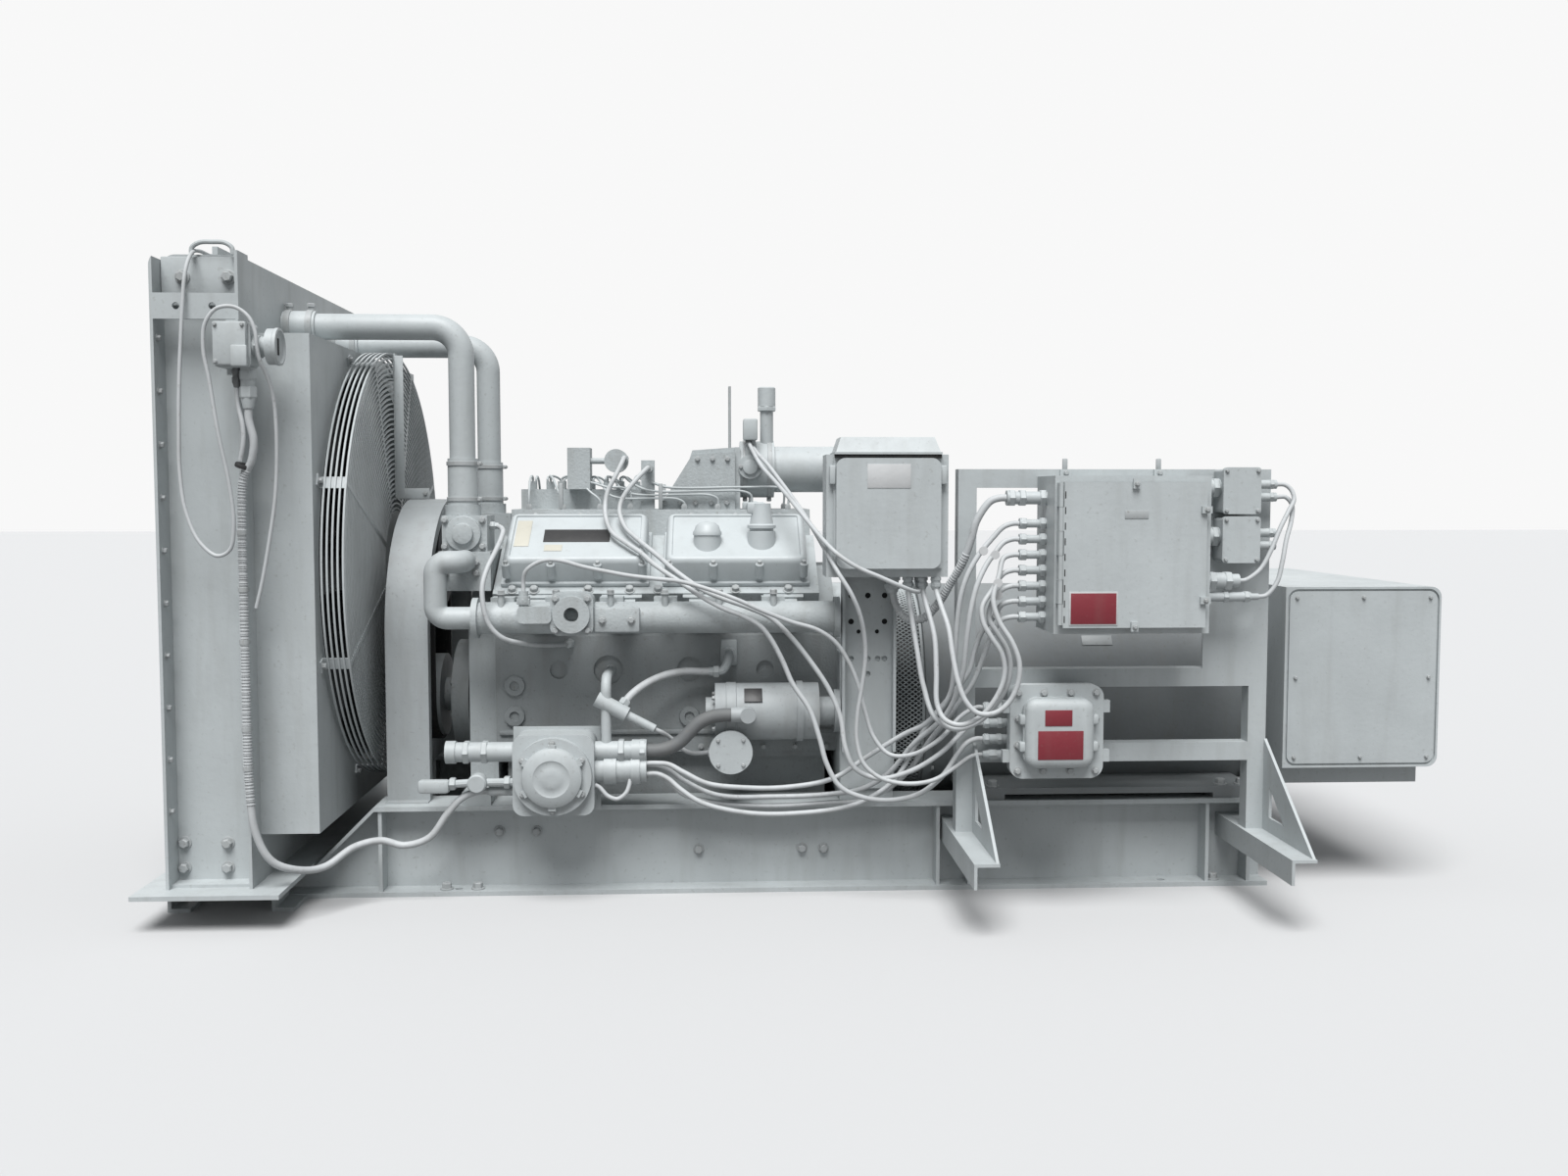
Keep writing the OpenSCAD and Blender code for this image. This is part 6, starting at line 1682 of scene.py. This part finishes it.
@dataclass
class ControlPanel:
    """Fittings of the control box, the side boxes, the flameproof box and the hooded box."""

    left: float = 0.59
    right: float = 0.996
    door: float = -0.821
    sides: Pair = (0.999, 1.129)
    side_y: float = -0.64
    nipple_rise: float = 0.008
    side_gland: float = 0.017
    inlet_y: float = -0.635
    inlets: Row = (0.462, 0.505, 0.548)
    tabs: Pair = (0.665, 0.921)
    latch_screws: Steps = ((0.976, 0.848), (0.976, 1.08), (0.793, 0.781), (0.793, 1.146))
    hinge_low: float = 0.8
    hinge_pitch: float = 0.03975
    flame: Point = (0.624, -0.708, 0.492)
    flame_bolts: Row = (-0.104, -0.036, 0.036, 0.104)
    flame_lid: float = 0.182
    flame_corner: float = 0.03
    flame_steps: Steps = ((0, 0.014), (0.003, 0.006), (0.007, 0.006), (0.012, 0.003))

    def build(self, shop: Workshop) -> None:
        """Model the pieces.

        Args:
            shop: The workshop.
        """
        self.dress_door(shop)
        self.rings(shop)
        shop.glands("inlet_low", [(0.512, self.inlet_y, 0.419)], Axis.MINUS_X, 0.0155, 0.072)
        shop.bolts("side_box_screws",
                   [place for z in self.sides
                    for place in grid((1.119, -0.687, z), (-0.042, 0.042), (-0.053, 0.053))],
                   Axis.MINUS_Y, 0.009)
        shop.bolts("panel_tab_bolts", [(x, -0.608, 1.177) for x in self.tabs], Axis.MINUS_Y, 0.011)
        hook = shop.block("hook", (-0.007, -0.598, 1.184), (0.007, -0.59, 1.216), 0.003)
        shop.row("frame_hooks", hook, [(x, 0, 0) for x in self.tabs], STEEL)
        self.dress_flame(shop)
        self.dress_hood(shop)

    def rings(self, shop: Workshop) -> None:
        """Model the hexagon rings of every row of glands and nipples.

        Args:
            shop: The workshop.
        """
        left, right = self.left, self.right
        cables, entry = GLAND_Z[:7], GLAND_Z[7]
        out, back = Axis.PLUS_X, Axis.MINUS_X
        for name, axis, xs, y, zs, radius, width in (
                ("gland_nuts", back, (left - 0.002,), GLAND_Y, cables, 0.0175, 0.014),
                ("gland_caps", back, (left - 0.052,), GLAND_Y, cables, 0.0165, 0.016),
                ("entry_rings", back, (left - 0.002, left - 0.056, left - 0.084), GLAND_Y, (entry,),
                 0.0235, 0.016),
                ("right_rings", out, (right + 0.004, right + 0.03, right + 0.072), GLAND_Y,
                 (0.891,), 0.0265, 0.018),
                ("thin_rings", out, (right + 0.004, right + 0.07, right + 0.126), GLAND_Y, (0.848,),
                 0.0165, 0.014),
                ("nipple_rings", out, (right + 0.004, right + 0.03, right + 0.056), self.side_y,
                 [z + self.nipple_rise for z in self.sides], 0.0285, 0.016),
                ("side_gland_rings", out, (1.17, 1.208), self.side_y,
                 [z + d for z in self.sides for d in (-self.side_gland, self.side_gland)],
                 0.0145, 0.012),
                ("inlet_rings", out, (0.443, 0.478), self.inlet_y, self.inlets, 0.0155, 0.014)):
            shop.ring(name, grid((0, y, 0), xs, zs), axis, radius, width)

    def dress_door(self, shop: Workshop) -> None:
        """Model the door's plates and latch screws, and the gaps of its hinge as near-black slits
        of painted shade.

        Args:
            shop: The workshop.
        """
        y = self.door
        for name, low, high, finish in (
                ("door_plate_rim", (0.624, y - 0.0016, 0.784), (0.75, y, 0.871), WHITE),
                ("door_plate", (0.628, y - 0.0026, 0.788), (0.746, y - 0.001, 0.867), RED),
                ("door_name_plate", (0.765, y - 0.0018, 1.058), (0.826, y, 1.078), STEEL)):
            shop.plate(name, low, high, finish, 0.0006, Body.DOOR)
        shop.bolts("door_latch_screws", [(x, y - 0.009, z) for x, z in self.latch_screws],
                   Axis.MINUS_Y, 0.01, body=Body.DOOR)
        # The near-black slits in the hinge are painted shade of its gaps.
        slot = shop.block("slot", (0.6105, y - 0.0004, -0.009), (0.6135, y + 0.001, 0.009), 0.0003)
        shop.row("hinge_slots", slot,
                 [(0, 0, self.hinge_low + self.hinge_pitch * i) for i in range(9)], GAP_SHADE, Body.DOOR)

    def dress_flame(self, shop: Workshop) -> None:
        """Model the flameproof box's domed lid, its bolts and lugs and its bare red plates.

        Args:
            shop: The workshop.
        """
        x, y, z = self.flame
        edge, inner = self.flame_bolts[-1], self.flame_bolts[1:3]
        shop.bolts("flame_lid_bolts",
                   [(x + i, y, z + j) for i in self.flame_bolts for j in self.flame_bolts
                    if edge in (abs(i), abs(j))], Axis.MINUS_Y, 0.015)
        dome = shop.rounded("flame_lid_dome", self.flame_lid, self.flame_lid, self.flame_corner,
                            self.flame_steps)
        dome.data.transform(shop.stand((x, y - 0.016, z), Axis.MINUS_Y))
        shop.finish(dome, GREY)
        lug = shop.block("lug", (-0.013, y - 0.03, -0.013), (0.013, y, 0.013), 0.005)
        shop.row("flame_lid_lugs", lug, grid((x, 0, z), (-0.092, 0.092), inner))
        for name, low, high in (("flame_plate_low", (-0.06, -0.067), (0.06, 0.009)),
                                ("flame_plate_high", (-0.042, 0.022), (0.03, 0.064))):
            shop.plate(name, (x + low[0], y - 0.0465, z + low[1]),
                       (x + high[0], y - 0.043, z + high[1]), RED, 0.0008)

    @staticmethod
    def dress_hood(shop: Workshop) -> None:
        """Model the hooded box's clips, bare label, seam, post backing and glands; the seam and the
        backing behind the post's holes are near-black strips of painted shade.

        Args:
            shop: The workshop.
        """
        for name, x in (("left", 0.024), ("right", 0.32)):
            shop.plate("hood_clip_" + name, (x, -0.654, 1.146), (x + 0.016, -0.632, 1.196),
                       edge=0.003)
        # hood_gap and post_backing are near black. They are painted shade in the seam under the lid
        # and behind the post's holes.
        for name, low, high, finish, edge in (
                ("hood_sheet", (0.123, -0.6635, 1.136), (0.238, -0.6615, 1.199), WHITE, 0.0005),
                ("hood_gap", (0.038, -0.652, 1.2152), (0.322, -0.636, 1.2248), GAP_SHADE, 0.001),
                ("post_backing", (0.074, -0.4549, 0.676), (0.218, -0.452, 0.88), GAP_SHADE, 0.0005),
                ("post_backing_sheet", (0.072, -0.452, 0.674), (0.22, -0.45, 0.882), GREY, 0.0005)):
            shop.plate(name, low, high, finish, edge)
        shop.glands("hood_glands", [(0.24, -0.6, 0.9), (0.279, -0.6, 0.9), (0.312, -0.622, 0.9)],
                    Axis.MINUS_Z, 0.0155, 0.036)
        shop.glands("hood_entry", [(0.205, -0.542, 0.9)], Axis.MINUS_Z, 0.022, 0.05)


@dataclass
class Stage:
    """Floor, light and the camera at the photograph's viewing angle."""

    camera_at: Point = (-0.28, -4.4, 1.118)
    pitch: float = 3.75
    yaw: float = 2.8
    lens: float = 32.625
    floor_color: Point = (0.5, 0.503, 0.507)
    floor_bounce: Point = (0.2, 0.2, 0.2)
    floor_size: float = 80
    light: float = 0.4
    backdrop: float = 0.94
    sun_strength: float = 4.5
    sun_elevation: float = 60
    sun_azimuth: float = 8
    sun_width: float = 36

    def camera(self) -> None:
        """Place the camera."""
        data = bpy.data.cameras.new("camera")
        data.sensor_width = 36
        data.sensor_fit = "HORIZONTAL"
        data.lens = self.lens
        camera = bpy.data.objects.new("camera", data)
        camera.location = self.camera_at
        camera.rotation_euler = Euler((math.radians(90 - self.pitch), 0, math.radians(-self.yaw)))
        bpy.context.collection.objects.link(camera)
        bpy.context.scene.camera = camera

    def sun(self) -> None:
        """Hang one soft sun, to the left of straight in front."""
        data = bpy.data.lights.new("sun", "SUN")
        data.energy = self.sun_strength
        data.angle = math.radians(self.sun_width)
        lamp = bpy.data.objects.new("sun", data)
        lamp.rotation_euler = Euler((math.radians(90 - self.sun_elevation), 0,
                                     math.radians(-self.sun_azimuth)))
        bpy.context.collection.objects.link(lamp)

    @staticmethod
    def seen(tree: bpy.types.NodeTree) -> bpy.types.NodeSocket:
        """Give the socket that is one for rays of the camera and of mirrors and glass.

        Args:
            tree: The tree to add its nodes to.

        Returns:
            The output socket.
        """
        path = tree.nodes.new("ShaderNodeLightPath")
        kinds = [path.outputs[k] for k in ("Is Camera Ray", "Is Glossy Ray", "Is Transmission Ray")]
        mirrored = Palette.calculate(tree, "ADD", kinds[1], kinds[2])
        return Palette.calculate(tree, "ADD", kinds[0], mirrored)

    def world(self) -> None:
        """Light the set from all around, behind a backdrop that is paler than its light."""
        world = bpy.data.worlds.new("studio")
        world.use_nodes = True
        tree = world.node_tree
        lit = tree.nodes["Background"]
        lit.inputs["Color"].default_value = (0.94, 0.97, 1, 1)
        lit.inputs["Strength"].default_value = self.light
        back = tree.nodes.new("ShaderNodeBackground")
        back.inputs["Color"].default_value = (1, 1, 1, 1)
        back.inputs["Strength"].default_value = self.backdrop
        mix = tree.nodes.new("ShaderNodeMixShader")
        tree.links.new(self.seen(tree), mix.inputs["Fac"])
        tree.links.new(lit.outputs["Background"], mix.inputs[1])
        tree.links.new(back.outputs["Background"], mix.inputs[2])
        tree.links.new(mix.outputs["Shader"], tree.nodes["World Output"].inputs["Surface"])
        bpy.context.scene.world = world

    def build(self) -> None:
        """Lay the floor and light the set from above."""
        bpy.ops.mesh.primitive_plane_add(size=self.floor_size, location=(0, 0, 0))
        floor = bpy.context.object
        floor.name = "floor"
        material = bpy.data.materials.new("floor")
        material.use_nodes = True
        shader = material.node_tree.nodes["Principled BSDF"]
        shader.inputs["Roughness"].default_value = 0.95
        tree = material.node_tree
        mix = tree.nodes.new("ShaderNodeMix")
        mix.data_type = "RGBA"
        mix.inputs["A"].default_value = (*self.floor_bounce, 1)
        mix.inputs["B"].default_value = (*self.floor_color, 1)
        tree.links.new(self.seen(tree), mix.inputs["Factor"])
        tree.links.new(mix.outputs["Result"], shader.inputs["Base Color"])
        floor.data.materials.append(material)
        self.world()
        self.sun()
        bpy.context.scene.view_settings.view_transform = "Standard"


def dress_frame(frame: dict, palette: Palette) -> None:
    """Give every CAD node its finish.

    Args:
        palette: The finishes.
    """
    for name, node in frame["nodes"].items():
        finish = NODE_FINISH.get(name, GREY)
        for slot in node.material_slots:
            slot.material = palette.material(finish)
        if not node.material_slots:
            node.data.materials.append(palette.material(finish))


def main() -> None:
    """Build the scene around the frame."""
    logging.basicConfig(level=logging.INFO, format="%(message)s")
    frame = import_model()
    stage = Stage()
    stage.camera()
    palette = Palette()
    shop = Workshop(palette)
    dress_frame(frame, palette)
    for assembly in (Skid(), Radiator(), FanDrive(), EngineTop(), EngineSide(), Generator(),
                     ControlPanel(), Cables()):
        assembly.build(shop)
    stage.build()
    LOG.info("%d pieces", shop.count)


if __name__ == "__main__":
    main()
